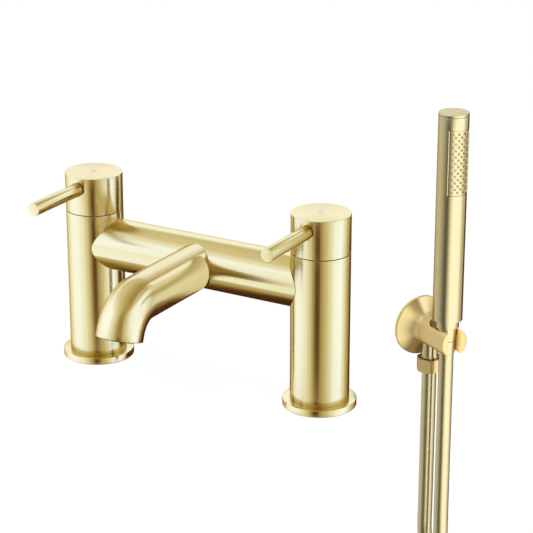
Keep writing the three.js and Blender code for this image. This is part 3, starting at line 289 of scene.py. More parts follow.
class HoseSettings(bpy.types.PropertyGroup):
    """The hose and the way its spare length is put away."""

    real_length: length("Hose length", "Whole length between its two fittings", 1.508)
    diameter: length("Hose diameter", "Outside diameter", 0.014)
    coil_radius: length("Coil radius", "Middle of the turns", 0.084)
    coil_drop: length("Coil drop", "Arm axis to the coil's centre", 0.355)
    entry_angle: angle("Entry angle", "Bend that lays each run on the coil", 60.0)
    give_angle: angle("Give angle", "Slope of the zone that stretches as the hose lifts", 75.0)
    tie_width: length("Tie width", "Width of the strap round the coil", 0.014)
    tie_thickness: length("Tie thickness", "Thickness of the strap", 0.0015)
    tie_clearance: length("Tie clearance", "Room between the strap and the turns", 0.0012)
    steps_per_turn: count("Steps per turn", "Route points in one turn of the coil", 24, 12)
    sides: count("Sides", "Sides of the tube", 40, 8)


class FinishSettings(bpy.types.PropertyGroup):
    """Colours and textures of the finishes."""

    brass: colour("Brass", "Brushed brass of the deck unit", (0.61, 0.475, 0.185))
    pale_brass: colour("Pale brass", "Brushed brass of the wall outlet", (0.51, 0.42, 0.21))
    brass_roughness: share("Brass roughness", "Roughness of the brushed brass", 0.2)
    brass_edge: colour("Brass edge", "Brass seen at a grazing angle", (0.80, 0.66, 0.44))
    brushing: share("Brushing", "How much more the lines blur a reflection across them", 0.8)
    pale_metal: share("Pale metal", "How metallic the wall outlet's finish is", 0.97)
    satin_brass: colour("Satin brass", "Soft brass of the wall plate and arm", (0.61, 0.455, 0.185))
    satin_metal: share("Satin metal", "How metallic the satin brass is", 0.82)
    satin_roughness: share("Satin roughness", "Roughness of the satin brass", 0.32)
    # Painted reflection: a bright diffuse gold for the cradle's slot walls, in place of the light
    # that their brass would reflect.
    lining: colour("Lining", "Inside of the cradle's slot", (0.85, 0.60, 0.23))
    grain_pitch: length("Grain pitch", "Spacing of the brush lines", 0.00045)
    grain_depth: share("Grain depth", "Strength of the brush lines", 0.02)
    raw_brass: colour("Raw brass", "Plain machined brass", (0.56, 0.41, 0.17))
    hose: colour("Hose", "Metallic gold skin of the hose", (0.51, 0.42, 0.21))
    rubber: colour("Rubber", "Seals and washers", (0.02, 0.02, 0.021))
    white: colour("White plastic", "Inner plastic parts", (0.74, 0.73, 0.68))
    black: colour("Black plastic", "Flow straightener and tie", (0.025, 0.025, 0.027))
    ceramic: colour("Ceramic", "Valve discs", (0.82, 0.80, 0.75))
    steel: colour("Steel", "Socket screws", (0.45, 0.45, 0.46))
    hot: colour("Hot mark", "Enamel of the hot indicator", (0.50, 0.20, 0.13))
    cold: colour("Cold mark", "Enamel of the cold indicator", (0.36, 0.42, 0.55))


class StageSettings(bpy.types.PropertyGroup):
    """Camera, deck, floor, lamps and reflector cards."""

    camera_azimuth: angle("Camera azimuth", "Angle from -Y towards +X", 30.217)
    camera_elevation: angle("Camera elevation", "Angle above the horizon", 19.993)
    camera_distance: length("Camera distance", "Distance from the aim point", 1.33733)
    aim: bpy.props.FloatVectorProperty(
        name="Aim", description="Point the camera looks at", default=(0.04876, 0.0, 0.0903),
        subtype="XYZ", unit="LENGTH",
    )
    lens: number("Lens", "Focal length on a 36 mm sensor", 135.08, min=1.0, unit="CAMERA")
    floor_drop: length("Floor drop", "Gap between the lowest point and the floor", 0.02)
    white: colour("Stage white", "Floor, deck and background", (1.0, 1.0, 1.0))
    warmth: number("Warmth", "How much the filler's screens change hue as they dim", 1.5, min=0.0)
    kit_warmth: number("Kit warmth", "The same for the screen round the handset", 0.1, min=0.0)
    shadow: share("Shadow", "Share of the shadow that the white stage keeps", 0.1)
    ambient: share("Ambient", "Plain light from all round", 1.0)
    lamp: number("Lamp", "Radiance of the soft lamp above", 1.8, min=0.0)
    front_lamp: number("Front lamp", "Radiance of the soft lamp in front", 9.0, min=0.0)


class BathSetSettings(bpy.types.PropertyGroup):
    """Everything a user would change."""

    deck_unit: group(DeckUnitSettings, "Deck unit", "The bridge filler on the bath deck")
    outlet: group(OutletSettings, "Outlet", "The wall outlet and its holder")
    handset: group(HandsetSettings, "Handset", "The handset and its fittings")
    hose: group(HoseSettings, "Hose", "The hose and its coil")
    finish: group(FinishSettings, "Finish", "What the pieces are made of")
    stage: group(StageSettings, "Stage", "What stands round the bath set")


# ---------------------------------------------------------------- mesh work


def set_out(name, bm, place=None):
    """An object from a bmesh made in its own frame, set in place."""
    mesh = bpy.data.meshes.new(name)
    bm.to_mesh(mesh)
    bm.free()
    made = bpy.data.objects.new(name, mesh)
    bpy.context.scene.collection.objects.link(made)
    if place is not None:
        made.matrix_world = place
    return made


def piece(name, bm, place=None):
    """An object whose faces all look outwards."""
    bmesh.ops.remove_doubles(bm, verts=bm.verts, dist=1e-7)
    bmesh.ops.recalc_face_normals(bm, faces=bm.faces)
    return set_out(name, bm, place)


def softened(profile, radius, closed=False, steps=3):
    """The profile with its corners off the axis rounded by small arcs."""
    points = [Vector(point) for point in profile]
    total = len(points)
    result = []
    for i, corner in enumerate(points):
        towards, onwards = points[i - 1] - corner, points[(i + 1) % total] - corner
        reach = min(radius, towards.length * 0.45, onwards.length * 0.45)
        at_end = not closed and i in (0, total - 1)
        straight = abs(towards.normalized().cross(onwards.normalized())) < 0.05
        if at_end or corner.x < 1e-6 or straight or reach < 1e-5:
            result.append(corner)
            continue
        start = corner + towards.normalized() * reach
        finish = corner + onwards.normalized() * reach
        for step in range(steps + 1):
            t = step / steps
            result.append(start * (1 - t) ** 2 + corner * 2 * t * (1 - t) + finish * t**2)
    return [(point.x, point.y) for point in result]


def rounded_corner(radius, level, soft, steps=3):
    """Points of a quarter arc up to a corner at a radius and a level."""
    turns = [math.pi / 2 * i / steps for i in range(steps + 1)]
    return [
        (radius - soft * (1 - math.cos(turn)), level - soft * (1 - math.sin(turn)))
        for turn in turns
    ]


def turned(name, profile, place, radius=0.0, steps=STEPS, closed=True):
    """A turned piece: a profile of (radius, height) points spun about Z."""
    if radius > 0:
        profile = softened(profile, radius, closed=closed)
    bm = bmesh.new()
    verts = [bm.verts.new((r, 0.0, z)) for r, z in profile]
    pairs = list(zip(verts, verts[1:]))
    if closed:
        pairs.append((verts[-1], verts[0]))
    edges = [bm.edges.new(pair) for pair in pairs]
    bmesh.ops.spin(
        bm, geom=verts + edges, axis=(0, 0, 1), cent=(0, 0, 0), angle=math.tau, steps=steps
    )
    return piece(name, bm, place)


def rod(radius, low, high, place, steps=STEPS):
    """A plain rod that cuts or joins."""
    profile = [(0.0, low), (radius, low), (radius, high), (0.0, high)]
    return turned("rod", profile, place, steps=steps, closed=False)


def tube(inner, outer, low, high):
    """Profile of a plain tube."""
    return [(inner, low), (outer, low), (outer, high), (inner, high)]


def skin(bm, rings, closed=False, capped=False):
    """Faces over rings of points; closed joins the last ring to the first."""
    loops = [[bm.verts.new(point) for point in ring] for ring in rings]
    pairs = list(zip(loops, loops[1:]))
    if closed:
        pairs.append((loops[-1], loops[0]))
    for one, other in pairs:
        for i in range(len(one)):
            j = (i + 1) % len(one)
            bm.faces.new((one[i], one[j], other[j], other[i]))
    if capped:
        bm.faces.new(loops[0])
        bm.faces.new(loops[-1])


def lofted(name, rings, place=None, closed=False, capped=False):
    """A piece whose skin runs over rings of points."""
    bm = bmesh.new()
    skin(bm, rings, closed, capped)
    return piece(name, bm, place)


def block(name, low, high, place=None):
    """A plain block that cuts another piece."""
    bm = bmesh.new()
    bmesh.ops.create_cube(bm, size=1.0)
    low, high = Vector(low), Vector(high)
    for vert in bm.verts:
        vert.co = Vector((a * b for a, b in zip(vert.co, high - low))) + (low + high) / 2
    return piece(name, bm, place)


def hexagon_bar(name, flats, low, high, place=None):
    """A hexagon bar by its width across the flats."""
    bm = bmesh.new()
    reach = flats / 2 / math.cos(math.pi / 6)
    bmesh.ops.create_cone(
        bm, cap_ends=True, segments=6, radius1=reach, radius2=reach, depth=high - low
    )
    bmesh.ops.translate(bm, verts=bm.verts, vec=(0, 0, (low + high) / 2))
    bmesh.ops.rotate(bm, verts=bm.verts, matrix=Matrix.Rotation(math.pi / 6, 3, "Z"))
    return piece(name, bm, place)


def hexagon_nut(name, flats, low, high, chamfer, place):
    """A hexagon nut whose corners are turned down at both ends."""
    half = flats / 2
    corner = half / math.cos(math.pi / 6)
    profile = [(0.0, low), (half, low), (corner, low + chamfer)]
    profile += [(corner, high - chamfer), (half, high), (0.0, high)]
    nut = turned(name, profile, place, steps=FINE_STEPS, closed=False)
    return combine(nut, hexagon_bar("bar", flats, low, high, place), "INTERSECT")


def weld(mesh):
    """Joins the points that a turned outline or a cut leaves side by side."""
    bm = bmesh.new()
    bm.from_mesh(mesh)
    bmesh.ops.remove_doubles(bm, verts=bm.verts, dist=WELD_DISTANCE)
    bmesh.ops.dissolve_degenerate(bm, edges=bm.edges, dist=WELD_DISTANCE)
    bm.to_mesh(mesh)
    bm.free()


def combine(target, tool, operation):
    """Cuts or joins with an exact boolean and removes the tool."""
    weld(target.data)
    weld(tool.data)
    modifier = target.modifiers.new("combine", "BOOLEAN")
    modifier.operation = operation
    modifier.solver = "EXACT"
    modifier.object = tool
    bpy.context.view_layer.update()
    graph = bpy.context.evaluated_depsgraph_get()
    mesh = bpy.data.meshes.new_from_object(target.evaluated_get(graph))
    target.modifiers.clear()
    weld(mesh)
    spare = (target.data, tool.data)
    target.data = mesh
    mesh.name = target.name
    bpy.data.objects.remove(tool)
    for old in spare:
        bpy.data.meshes.remove(old)
    return target


def cut(target, *tools):
    for tool in tools:
        combine(target, tool, "DIFFERENCE")
    return target


def lay_grain(made, along=None, around=None):
    """Stores where each point lies about the piece's own axis and which way the brush ran."""
    mesh = made.data
    place = mesh.attributes.new("grain", "FLOAT_VECTOR", "POINT")
    brushed = mesh.attributes.new("around", "FLOAT_VECTOR", "POINT")
    for i, vert in enumerate(mesh.vertices):
        place.data[i].vector = along[i] if along else vert.co
        brushed.data[i].vector = around[i] if around else (-vert.co.y, vert.co.x, 0.0)


def dress(made, nodes, body, slot, finish=None):
    """Smooths, finishes and mounts a piece, and hides the CAD nodes it stands for."""
    mesh = made.data
    mesh.shade_smooth()
    mesh.set_sharp_from_angle(angle=SHARP_EDGE)
    if "grain" not in mesh.attributes:
        lay_grain(made)
    mesh.materials.clear()
    mesh.materials.append(finishes()[finish or slot])
    if body:
        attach(made, body)
    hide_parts(*nodes)
    return made


def turned_part(node, profile, place, mount, edge=0.0, tools=(), **shape):
    """A turned piece that stands for a CAD node, less its cutting tools."""
    made = turned(node + "_fine", profile, place, edge, **shape)
    cut(made, *tools)
    return dress(made, (node,), *mount)


def socket_screw(node, body, radius, low, high, key, place, steps=STEPS):
    """A headless screw with a hexagon socket between two levels, low and high."""
    made = rod(radius, low, high, place, steps)
    made.name = node + "_fine"
    cut(made, hexagon_bar("key", KEY_FLATS, *key, place))
    return dress(made, (node,), body, "steel")


# ---------------------------------------------------------------- finishes


class Nodes:
    """Adds and links shader nodes in one tree."""

    def __init__(self, tree):
        self.tree = tree
        tree.nodes.clear()

    def add(self, kind, **values):
        node = self.tree.nodes.new(kind)
        for key, value in values.items():
            setattr(node, key, value)
        return node

    def link(self, source, target):
        self.tree.links.new(source, target)

    def attribute(self, name, output):
        return self.add("ShaderNodeAttribute", attribute_name=name).outputs[output]

    def own_place(self):
        """Where a point lies in its own object."""
        return self.add("ShaderNodeTexCoord").outputs["Object"]

    def math(self, operation, first, second=None):
        node = self.add("ShaderNodeMath", operation=operation)
        for socket, value in zip(node.inputs, (first, second)):
            if isinstance(value, (int, float)):
                socket.default_value = value
            elif value is not None:
                self.link(value, socket)
        return node.outputs[0]

    def noise(self, vector, scale, detail=3.0, roughness=0.55):
        node = self.add("ShaderNodeTexNoise")
        node.inputs["Scale"].default_value = scale
        node.inputs["Detail"].default_value = detail
        node.inputs["Roughness"].default_value = roughness
        self.link(vector, node.inputs["Vector"])
        return node.outputs["Fac"]

    def ramp(self, factor, low, high, start=0.3, end=0.7):
        """A colour between two that follows a factor."""
        node = self.add("ShaderNodeValToRGB")
        stops = ((start, low), (end, high))
        for element, (position, tone) in zip(node.color_ramp.elements, stops):
            element.position = position
            element.color = (*tone, 1.0)
        self.link(factor, node.inputs["Fac"])
        return node.outputs["Color"]

    def spread(self, factor, low, high):
        """A number between two that follows a factor."""
        node = self.add("ShaderNodeMapRange")
        node.inputs["To Min"].default_value = low
        node.inputs["To Max"].default_value = high
        self.link(factor, node.inputs["Value"])
        return node.outputs["Result"]

    def bump(self, height, strength, distance):
        node = self.add("ShaderNodeBump")
        node.inputs["Strength"].default_value = strength
        node.inputs["Distance"].default_value = distance
        self.link(height, node.inputs["Height"])
        return node.outputs["Normal"]

    def mixed(self, factor, first, second):
        """One shader that turns into another with a factor."""
        node = self.add("ShaderNodeMixShader")
        self.link(factor, node.inputs["Fac"])
        self.link(first.outputs[0], node.inputs[1])
        self.link(second.outputs[0], node.inputs[2])
        return node.outputs[0]


def blank_material(name):
    """A material, its nodes and the socket that takes its surface."""
    made = bpy.data.materials.new(name)
    made.use_nodes = True
    nodes = Nodes(made.node_tree)
    return made, nodes, nodes.add("ShaderNodeOutputMaterial").inputs["Surface"]


def finish_material(name):
    """A material with its nodes and its shader's sockets."""
    made, nodes, surface = blank_material(name)
    shader = nodes.add("ShaderNodeBsdfPrincipled")
    nodes.link(shader.outputs[0], surface)
    return made, nodes, shader.inputs


def tint(shade, factor):
    return tuple(min(1.0, channel * factor) for channel in shade)


def tints(shade, low, high):
    return tint(shade, low), tint(shade, high)


def glow(level, warmth):
    """
    A reflector tone by its strength, where 1 is white. With more warmth, what is under 1 turns
    amber and what is over it turns a cool white.
    """
    haze = 3.0 * warmth * max(0.0, level - HAZE_STARTS)
    green = 1.05 * level ** (1 + 0.27 * warmth)
    return (level, green, 1.08 * level ** (1 + warmth) + 0.025 + haze)


def grain_vector(nodes, across, along):
    """Texture place whose lines run round the piece: fine along its axis and its radius."""
    place = nodes.attribute("grain", "Vector")
    parts = nodes.add("ShaderNodeSeparateXYZ")
    nodes.link(place, parts.inputs[0])
    x, y, z = parts.outputs
    square = nodes.math("ADD", nodes.math("MULTIPLY", x, x), nodes.math("MULTIPLY", y, y))
    reach = nodes.math("ADD", z, nodes.math("SQRT", square))
    joined = nodes.add("ShaderNodeCombineXYZ")
    for socket, value, scale in zip(joined.inputs, (x, y, reach), (across, across, along)):
        nodes.link(nodes.math("MULTIPLY", value, scale), socket)
    return joined.outputs[0], place


def brushed_brass(name, shade, finish, metal=1.0, base=None):
    """Brass with fine brush lines running round each turned piece, by its base roughness."""
    made, nodes, shader = finish_material(name)
    lines, place = grain_vector(nodes, 45.0, 1.0 / finish.grain_pitch)
    fine = nodes.noise(lines, 1.0, 4.0, 0.7)
    broad = nodes.noise(place, 22.0, 2.0)
    nodes.link(nodes.ramp(fine, *tints(shade, 0.975, 1.025), 0.25, 0.75), shader["Base Color"])
    shader["Metallic"].default_value = metal
    mottle = nodes.math(
        "ADD", nodes.math("MULTIPLY", fine, 0.7), nodes.math("MULTIPLY", broad, 0.3)
    )
    base = base or finish.brass_roughness
    nodes.link(nodes.spread(mottle, base - 0.02, base + 0.02), shader["Roughness"])
    nodes.link(nodes.bump(fine, finish.grain_depth, 0.0002), shader["Normal"])
    shader["Specular Tint"].default_value = (*finish.brass_edge, 1.0)
    turn = nodes.add(
        "ShaderNodeVectorTransform", vector_type="VECTOR", convert_from="OBJECT", convert_to="WORLD"
    )
    nodes.link(nodes.attribute("around", "Vector"), turn.inputs[0])
    nodes.link(turn.outputs[0], shader["Tangent"])
    shader["Anisotropic"].default_value = finish.brushing
    shader["Anisotropic Rotation"].default_value = 0.25
    return made


def clouded(name, shade, cloud, shades, roughness, metal=0.0, pits=None):
    """
    A finish whose shade and roughness follow one soft noise (scale, detail), with fine pits
    (scale, detail, strength, depth) where it has them.
    """
    made, nodes, shader = finish_material(name)
    place = nodes.own_place()
    soft = nodes.noise(place, *cloud)
    nodes.link(nodes.ramp(soft, *tints(shade, *shades)), shader["Base Color"])
    shader["Metallic"].default_value = metal
    nodes.link(nodes.spread(soft, *roughness), shader["Roughness"])
    if pits:
        scale, detail, strength, depth = pits
        rough = nodes.noise(place, scale, detail)
        nodes.link(nodes.bump(rough, strength, depth), shader["Normal"])
    return made


def moulded(name, shade, roughness, pits=700.0):
    """Moulded rubber or plastic with a slightly uneven surface."""
    rough = (roughness - 0.06, roughness + 0.06)
    return clouded(name, shade, (90.0, 3.0), (0.88, 1.1), rough, pits=(pits, 3.0, 0.12, 0.0002))


FINISHES = {}


def finishes():
    """The materials by slot, made once."""
    if FINISHES:
        return FINISHES
    finish = bpy.context.scene.bath_set.finish
    FINISHES.update(
        brushed_brass=brushed_brass("brushed_brass", finish.brass, finish),
        pale_brass=brushed_brass("pale_brass", finish.pale_brass, finish, finish.pale_metal),
        satin_brass=brushed_brass(
            "satin_brass", finish.satin_brass, finish, finish.satin_metal, finish.satin_roughness
        ),
        # Painted reflection on the cradle's slot walls: bright diffuse gold in place of the brass's
        # reflected light.
        lining=moulded("cradle_lining", finish.lining, 0.45),
        raw_brass=clouded(
            "raw_brass", finish.raw_brass, (55.0, 4.0), (0.72, 1.08), (0.46, 0.30), 1.0,
            pits=(900.0, 2.0, 0.08, 0.0003),
        ),
        hose_finish=clouded(
            "hose_skin", finish.hose, (60.0, 2.0), (0.97, 1.03), (0.24, 0.29), 1.0
        ),
        rubber=moulded("black_rubber", finish.rubber, 0.72),
        black_plastic=moulded("black_plastic", finish.black, 0.45),
        white_plastic=moulded("white_plastic", finish.white, 0.42),
        ceramic=moulded("valve_ceramic", finish.ceramic, 0.22, 2500.0),
        steel=clouded(
            "socket_steel", finish.steel, (1400.0, 3.0), (0.85, 1.1), (0.28, 0.42), 1.0
        ),
        hot_enamel=moulded("hot_enamel", finish.hot, 0.3),
        cold_enamel=moulded("cold_enamel", finish.cold, 0.3),
    )
    return FINISHES


# ---------------------------------------------------------------- deck unit


def threaded_tube(name, inner, outer, low, high, pitch, thread_top, place):
    """A tube with a pipe thread on its outside up to a height."""
    sides, depth, slope = 48, pitch * 0.5, 0.0009
    steps = math.ceil((thread_top - low) / pitch * 8)
    rings = [[(inner, low)] * sides, [(outer - slope, low)] * sides]
    for i in range(steps + 1):
        z = low + (thread_top - low) * i / steps
        run_in = max(0.0, min(1.0, (z - low) / pitch + 0.1, (thread_top - z) / pitch))
        ring = []
        for k in range(sides):
            phase = (z / pitch - k / sides) % 1.0
            groove = min(1.0, max(0.0, abs(phase - 0.5) * 4 - 0.5)) * run_in
            taper = slope * max(0.0, 1.0 - (z - low) / slope)
            ring.append((outer - max(depth * (1 - groove) * run_in, taper), z))
        rings.append(ring)
    rings += [[(outer, thread_top)] * sides, [(outer, high)] * sides, [(inner, high)] * sides]
    points = [
        [
            (r * math.cos(math.tau * k / sides), r * math.sin(math.tau * k / sides), z)
            for k, (r, z) in enumerate(ring)
        ]
        for ring in rings
    ]
    return lofted(name, points, place, closed=True)


def make_fixings(settings, side):
    """Tail, washers and backnut that clamp the unit to the deck."""
    place = pillar_place(side)
    tail, nut = f"threaded_tail_{side}", f"backnut_{side}"
    radius = width(tail) / 2
    bore, loose_bore, thread_end = radius + JOINT_GAP, radius + 0.0021, 0.004
    made = threaded_tube(
        tail + "_fine", radius - settings.tail_wall, radius, foot(tail), top(tail),
        settings.thread_pitch, thread_end, place,
    )
    dress(made, (tail,), *RAW_BRASS)
    for name, inner in ((f"under_deck_washer_{side}", bore), (f"deck_washer_{side}", loose_bore)):
        turned_part(name, tube(inner, width(name) / 2, *span(name)), place, RUBBER, 0.0004)
    low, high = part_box(nut)
    flats = min(high.x - low.x, high.y - low.y)
    made = hexagon_nut(nut + "_fine", flats, *span(nut), 0.0014, place)
    cut(made, rod(bore, foot(nut) - PAST, top(nut) + PAST, place))
    dress(made, (nut,), *RAW_BRASS)


def make_pillar(settings, side):
    """Foot flange and pillar of one side."""
    place = pillar_place(side)
    gap, edge = JOINT_GAP, settings.edge_radius
    flange, name, washer = f"base_flange_{side}", f"pillar_{side}", f"deck_washer_{side}"
    bore = width(f"threaded_tail_{side}") / 2 + gap
    outer, high = width(flange) / 2, top(flange)
    recess, rim, collar = top(washer) + gap, width(washer) / 2 + gap, bore + 0.0015
    profile = [(bore, 0.0), (collar, 0.0), (collar, recess), (rim, recess)]
    profile += [(rim, 0.0), (outer, 0.0), (outer, high), (bore, high)]
    turned_part(flange, profile, place, DECK_BRASS, edge, steps=FINE_STEPS)

    radius, low, high = width(name) / 2, top(flange) + SEAM, top(name)
    chamber, waterway = radius - settings.pillar_wall, settings.waterway
    seat, socket = foot(f"seat_seal_{side}") - gap, top(f"threaded_tail_{side}") + gap
    port, axis = settings.bridge_port, settings.bridge_height
    shoulder = port + 0.004
    profile = [(bore, low), (radius, low), (radius, axis - shoulder), (radius, axis + shoulder)]
    profile += [(radius, high), (chamber, high), (chamber, seat), (waterway, seat)]
    profile += [(waterway, socket), (bore, socket)]
    inward = -math.copysign(1.0, place.translation.x)
    sideways = Matrix.Rotation(inward * math.pi / 2, 4, "Y")
    opening = rod(port, 0.0, radius + PAST, shifted(place, z=axis) @ sideways)
    turned_part(name, profile, place, DECK_BRASS, edge * 0.25, (opening,), steps=FINE_STEPS)


def make_bridge(settings):
    """The cross tube, saddled on the pillars, with the port to the spout."""
    half = centre("pillar_right").x
    outer = thickness("bridge") / 2
    inner = outer - settings.bridge_wall
    saddle = width("pillar_right") / 2 + SEAM
    clear = width("spout") / 2 - 0.001
    soft = 0.0003

    def end(across, inset=0.0):
        return half - math.sqrt(saddle**2 - across**2) - inset

    rings = []
    for k in range(FINE_STEPS):
        turn = math.tau * k / FINE_STEPS
        y, z = math.cos(turn), math.sin(turn)
        edge = outer - soft
        stations = [(-end(edge * y), edge), (-end(outer * y, soft), outer)]
        stations += [(-clear, outer), (clear, outer)]
        stations += [(end(outer * y, soft), outer), (end(edge * y), edge)]
        stations += [(end(inner * y), inner), (-end(inner * y), inner)]
        rings.append([(x, r * y, r * z) for x, r in stations])
    place = Matrix.Translation((0.0, 0.0, settings.bridge_height))
    made = lofted("bridge_fine", rings, place, closed=True)
    port = width("spout") / 2 - settings.spout_wall
    cut(made, rod(port, 0.0, outer + PAST, tilted(place, 90)))
    verts = [vert.co for vert in made.data.vertices]
    lay_grain(made, [(y, z, x) for x, y, z in verts], [(0.0, -z, y) for x, y, z in verts])
    dress(made, ("bridge",), *DECK_BRASS)


def spout_line(settings):
    """Stations of the spout's axis: distance along it, place and heading in the Y-Z plane."""
    straight, radius = settings.spout_straight, settings.spout_bend_radius
    bend, nose = settings.spout_bend_angle, settings.spout_nose
    stations = []
    start = thickness("bridge") / 2 + 0.002
    for i in range(5):
        reach = start + (straight - start) * i / 4
        stations.append((reach, Vector((0.0, -reach, 0.0)), 0.0))
    bends = 40
    for i in range(1, bends + 1):
        turn = bend * i / bends
        point = Vector((0.0, -straight - radius * math.sin(turn), radius * (math.cos(turn) - 1)))
        stations.append((straight + radius * turn, point, turn))
    distance, point, turn = stations[-1]
    heading = Vector((0.0, -math.cos(turn), -math.sin(turn)))
    stations.append((distance + nose, point + heading * nose, turn))
    return stations


def make_spout(settings):
    """The fixed spout: saddled on the bridge, straight, then bent down."""
    outer = width("spout") / 2
    inner = outer - settings.spout_wall
    saddle = thickness("bridge") / 2 + SEAM
    chamfer, soft = 0.0003, 0.0005
    turns = [math.tau * k / FINE_STEPS for k in range(FINE_STEPS)]
    stations = spout_line(settings)
    line, nose = stations[:-1], stations[-1]

    def root(radius, inset=0.0):
        """Points, grain and brush of the ring that meets the bridge."""
        ring, grain, around = [], [], []
        for t in turns:
            x, z = radius * math.cos(t), radius * math.sin(t)
            reach = math.sqrt(saddle**2 - min(z * z, saddle**2 * 0.99)) + inset
            ring.append(Vector((x, -reach, z)))
            grain.append(Vector((x, z, reach)))
            around.append(Vector((-z, 0.0, x)))
        return ring, grain, around

    def section(radius, station, back=0.0):
        """Points, grain and brush of a ring square to the axis."""
        distance, point, turn = station
        heading = Vector((0.0, -math.cos(turn), -math.sin(turn)))
        up = Vector((0.0, -math.sin(turn), math.cos(turn)))
        ring, grain, around = [], [], []
        for t in turns:
            x, z = radius * math.cos(t), radius * math.sin(t)
            ring.append(point - heading * back + Vector((x, 0.0, 0.0)) + up * radius * math.sin(t))
            grain.append(Vector((x, z, distance - back)))
            around.append(Vector((-math.sin(t), 0.0, 0.0)) + up * math.cos(t))
        return ring, grain, around

    parts = [root(outer - chamfer), root(outer, chamfer)]
    parts += [section(outer, station) for station in line]
    for radius, level in rounded_corner(outer, 0.0, soft):
        parts.append(section(radius, nose, -level))
    parts += [section(inner + chamfer, nose), section(inner, nose, chamfer)]
    parts += [section(inner, station) for station in reversed(line)]
    parts.append(root(inner))
    place = Matrix.Translation((0.0, 0.0, settings.bridge_height))
    made = lofted("spout_fine", [part[0] for part in parts], place, closed=True)
    along, around = ([v for part in parts for v in part[i]] for i in (1, 2))
    lay_grain(made, along, around)
    dress(made, ("spout",), *DECK_BRASS)


def make_cap(settings, side):
    """Lever cap with the holes for its lever, its screw and its mark."""
    place = pillar_place(side)
    body = f"handle_{side}"
    mount = (body, "brushed_brass")
    gap, edge = JOINT_GAP, settings.edge_radius
    name, lever, screw = f"handle_cap_{side}", f"lever_{side}", f"cap_screw_{side}"
    mark = f"indicator_{side}"
    radius, low, high = width(name) / 2, foot(name) - settings.cap_lap, top(name)
    inner, ceiling = radius - settings.cap_wall, high - settings.cap_top
    boss, boss_foot = 0.008, top(f"gland_nut_{side}") + 0.001
    stud_length, key_depth = 0.009, 0.0025
    profile = [(inner, low), (radius, low), (radius, high), (0.0, high), (0.0, boss_foot)]
    profile += [(boss, boss_foot), (boss, ceiling), (inner, ceiling)]
    forwards = tilted(shifted(place, z=centre(lever).z), 90)
    backwards = tilted(shifted(place, z=centre(screw).z), -90)
    lever_radius, screw_radius = thickness(lever) / 2, thickness(screw) / 2
    mark_radius, stud = width(mark) / 2, settings.stud_radius
    shoulder = radius - settings.recess_depth
    holes = (
        rod(lever_radius + settings.recess_gap / 2, shoulder, radius + PAST, forwards),
        rod(stud + gap, radius * 0.45, radius, forwards),
        rod(screw_radius + gap, radius * 0.5, radius + PAST, backwards),
        rod(mark_radius + gap / 2, foot(mark) - gap, high + PAST, place),
    )
    turned_part(name, profile, place, mount, edge, holes, steps=FINE_STEPS)

    reach = -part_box(lever)[0].y
    stud_end, root = shoulder - stud_length, shoulder + gap
    profile = [(0.0, stud_end), (stud, stud_end), (stud, root)]
    profile += [(lever_radius, root), (lever_radius, reach), (0.0, reach)]
    turned_part(lever, profile, forwards, mount, edge * 0.7, closed=False)

    low_y, high_y = (corner.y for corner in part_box(screw))
    key = (high_y - key_depth, high_y + PAST)
    socket_screw(screw, body, screw_radius, low_y, high_y, key, backwards)

    enamel = "hot_enamel" if side == "left" else "cold_enamel"
    profile = [(0.0, foot(mark)), (mark_radius, foot(mark)), (mark_radius, top(mark))]
    profile.append((0.0, top(mark)))
    turned_part(mark, profile, place, (body, enamel), 0.0002, steps=48, closed=False)


# ---------------------------------------------------------------- wall outlet


def flare(settings, low, rim):
    """Points of the holder's concave flare, from the rim to the arm."""
    arm, steps = settings.arm_radius, 28
    points = []
    for i in range(steps + 1):
        part = i / steps
        spread = (rim - arm) * (1 - part) ** settings.flare_curve
        points.append((arm + spread, low + settings.flare_length * part))
    return points


def holder_solid(name, settings, place, gap=0.0):
    """The holder before it is cut: flare, arm and rounded end."""
    low = settings.rim_thickness + JOINT_GAP
    rim, end = settings.plate_radius - 0.0006, settings.arm_length
    profile = [(0.0, low)]
    profile += [(r + gap, z) for r, z in flare(settings, low, rim)]
    profile += rounded_corner(settings.arm_radius + gap, end, 0.0005)
    profile.append((0.0, end))
    return turned(name, profile, tilted(place, 90), steps=FINE_STEPS, closed=False)


def cradle_tools(settings, place):
    """The tapered seat, the pocket above it and the slot that the hose passes through."""
    offset = settings.handset_offset
    back = offset - settings.pocket_length
    seat, pocket = shifted(place, y=-offset), shifted(place, y=-back)
    high = settings.arm_radius + PAST
    floor = settings.arm_radius - settings.pocket_depth
    wide, narrow = settings.seat_top, settings.seat_foot
    slot = settings.slot_width / 2
    taper = [(0.0, -high), (narrow, -high), (wide, high), (0.0, high)]
    return [
        turned("seat", taper, seat, closed=False),
        rod(wide, floor, high, seat),
        rod(wide, floor, high, pocket),
        block("pocket", (-wide, -offset, floor), (wide, -back, high), place),
        block("slot", (-slot, -settings.arm_length - PAST, -high), (slot, -offset, high), place),
    ]


def paint_cradle_glow(made, settings, place):
    """Paints a reflection on the slot's walls in front of the handset: they get a bright diffuse
    gold material of their own in place of their brass.
    """
    made.data.materials.append(finishes()["lining"])
    back = place.inverted() @ made.matrix_world
    inside, end = settings.arm_radius - 0.0004, settings.arm_length - 0.0003
    for face in made.data.polygons:
        spot = back @ face.center
        in_front = settings.handset_offset < -spot.y < end
        if in_front and math.hypot(spot.x, spot.z) < inside:
            face.material_index = 1


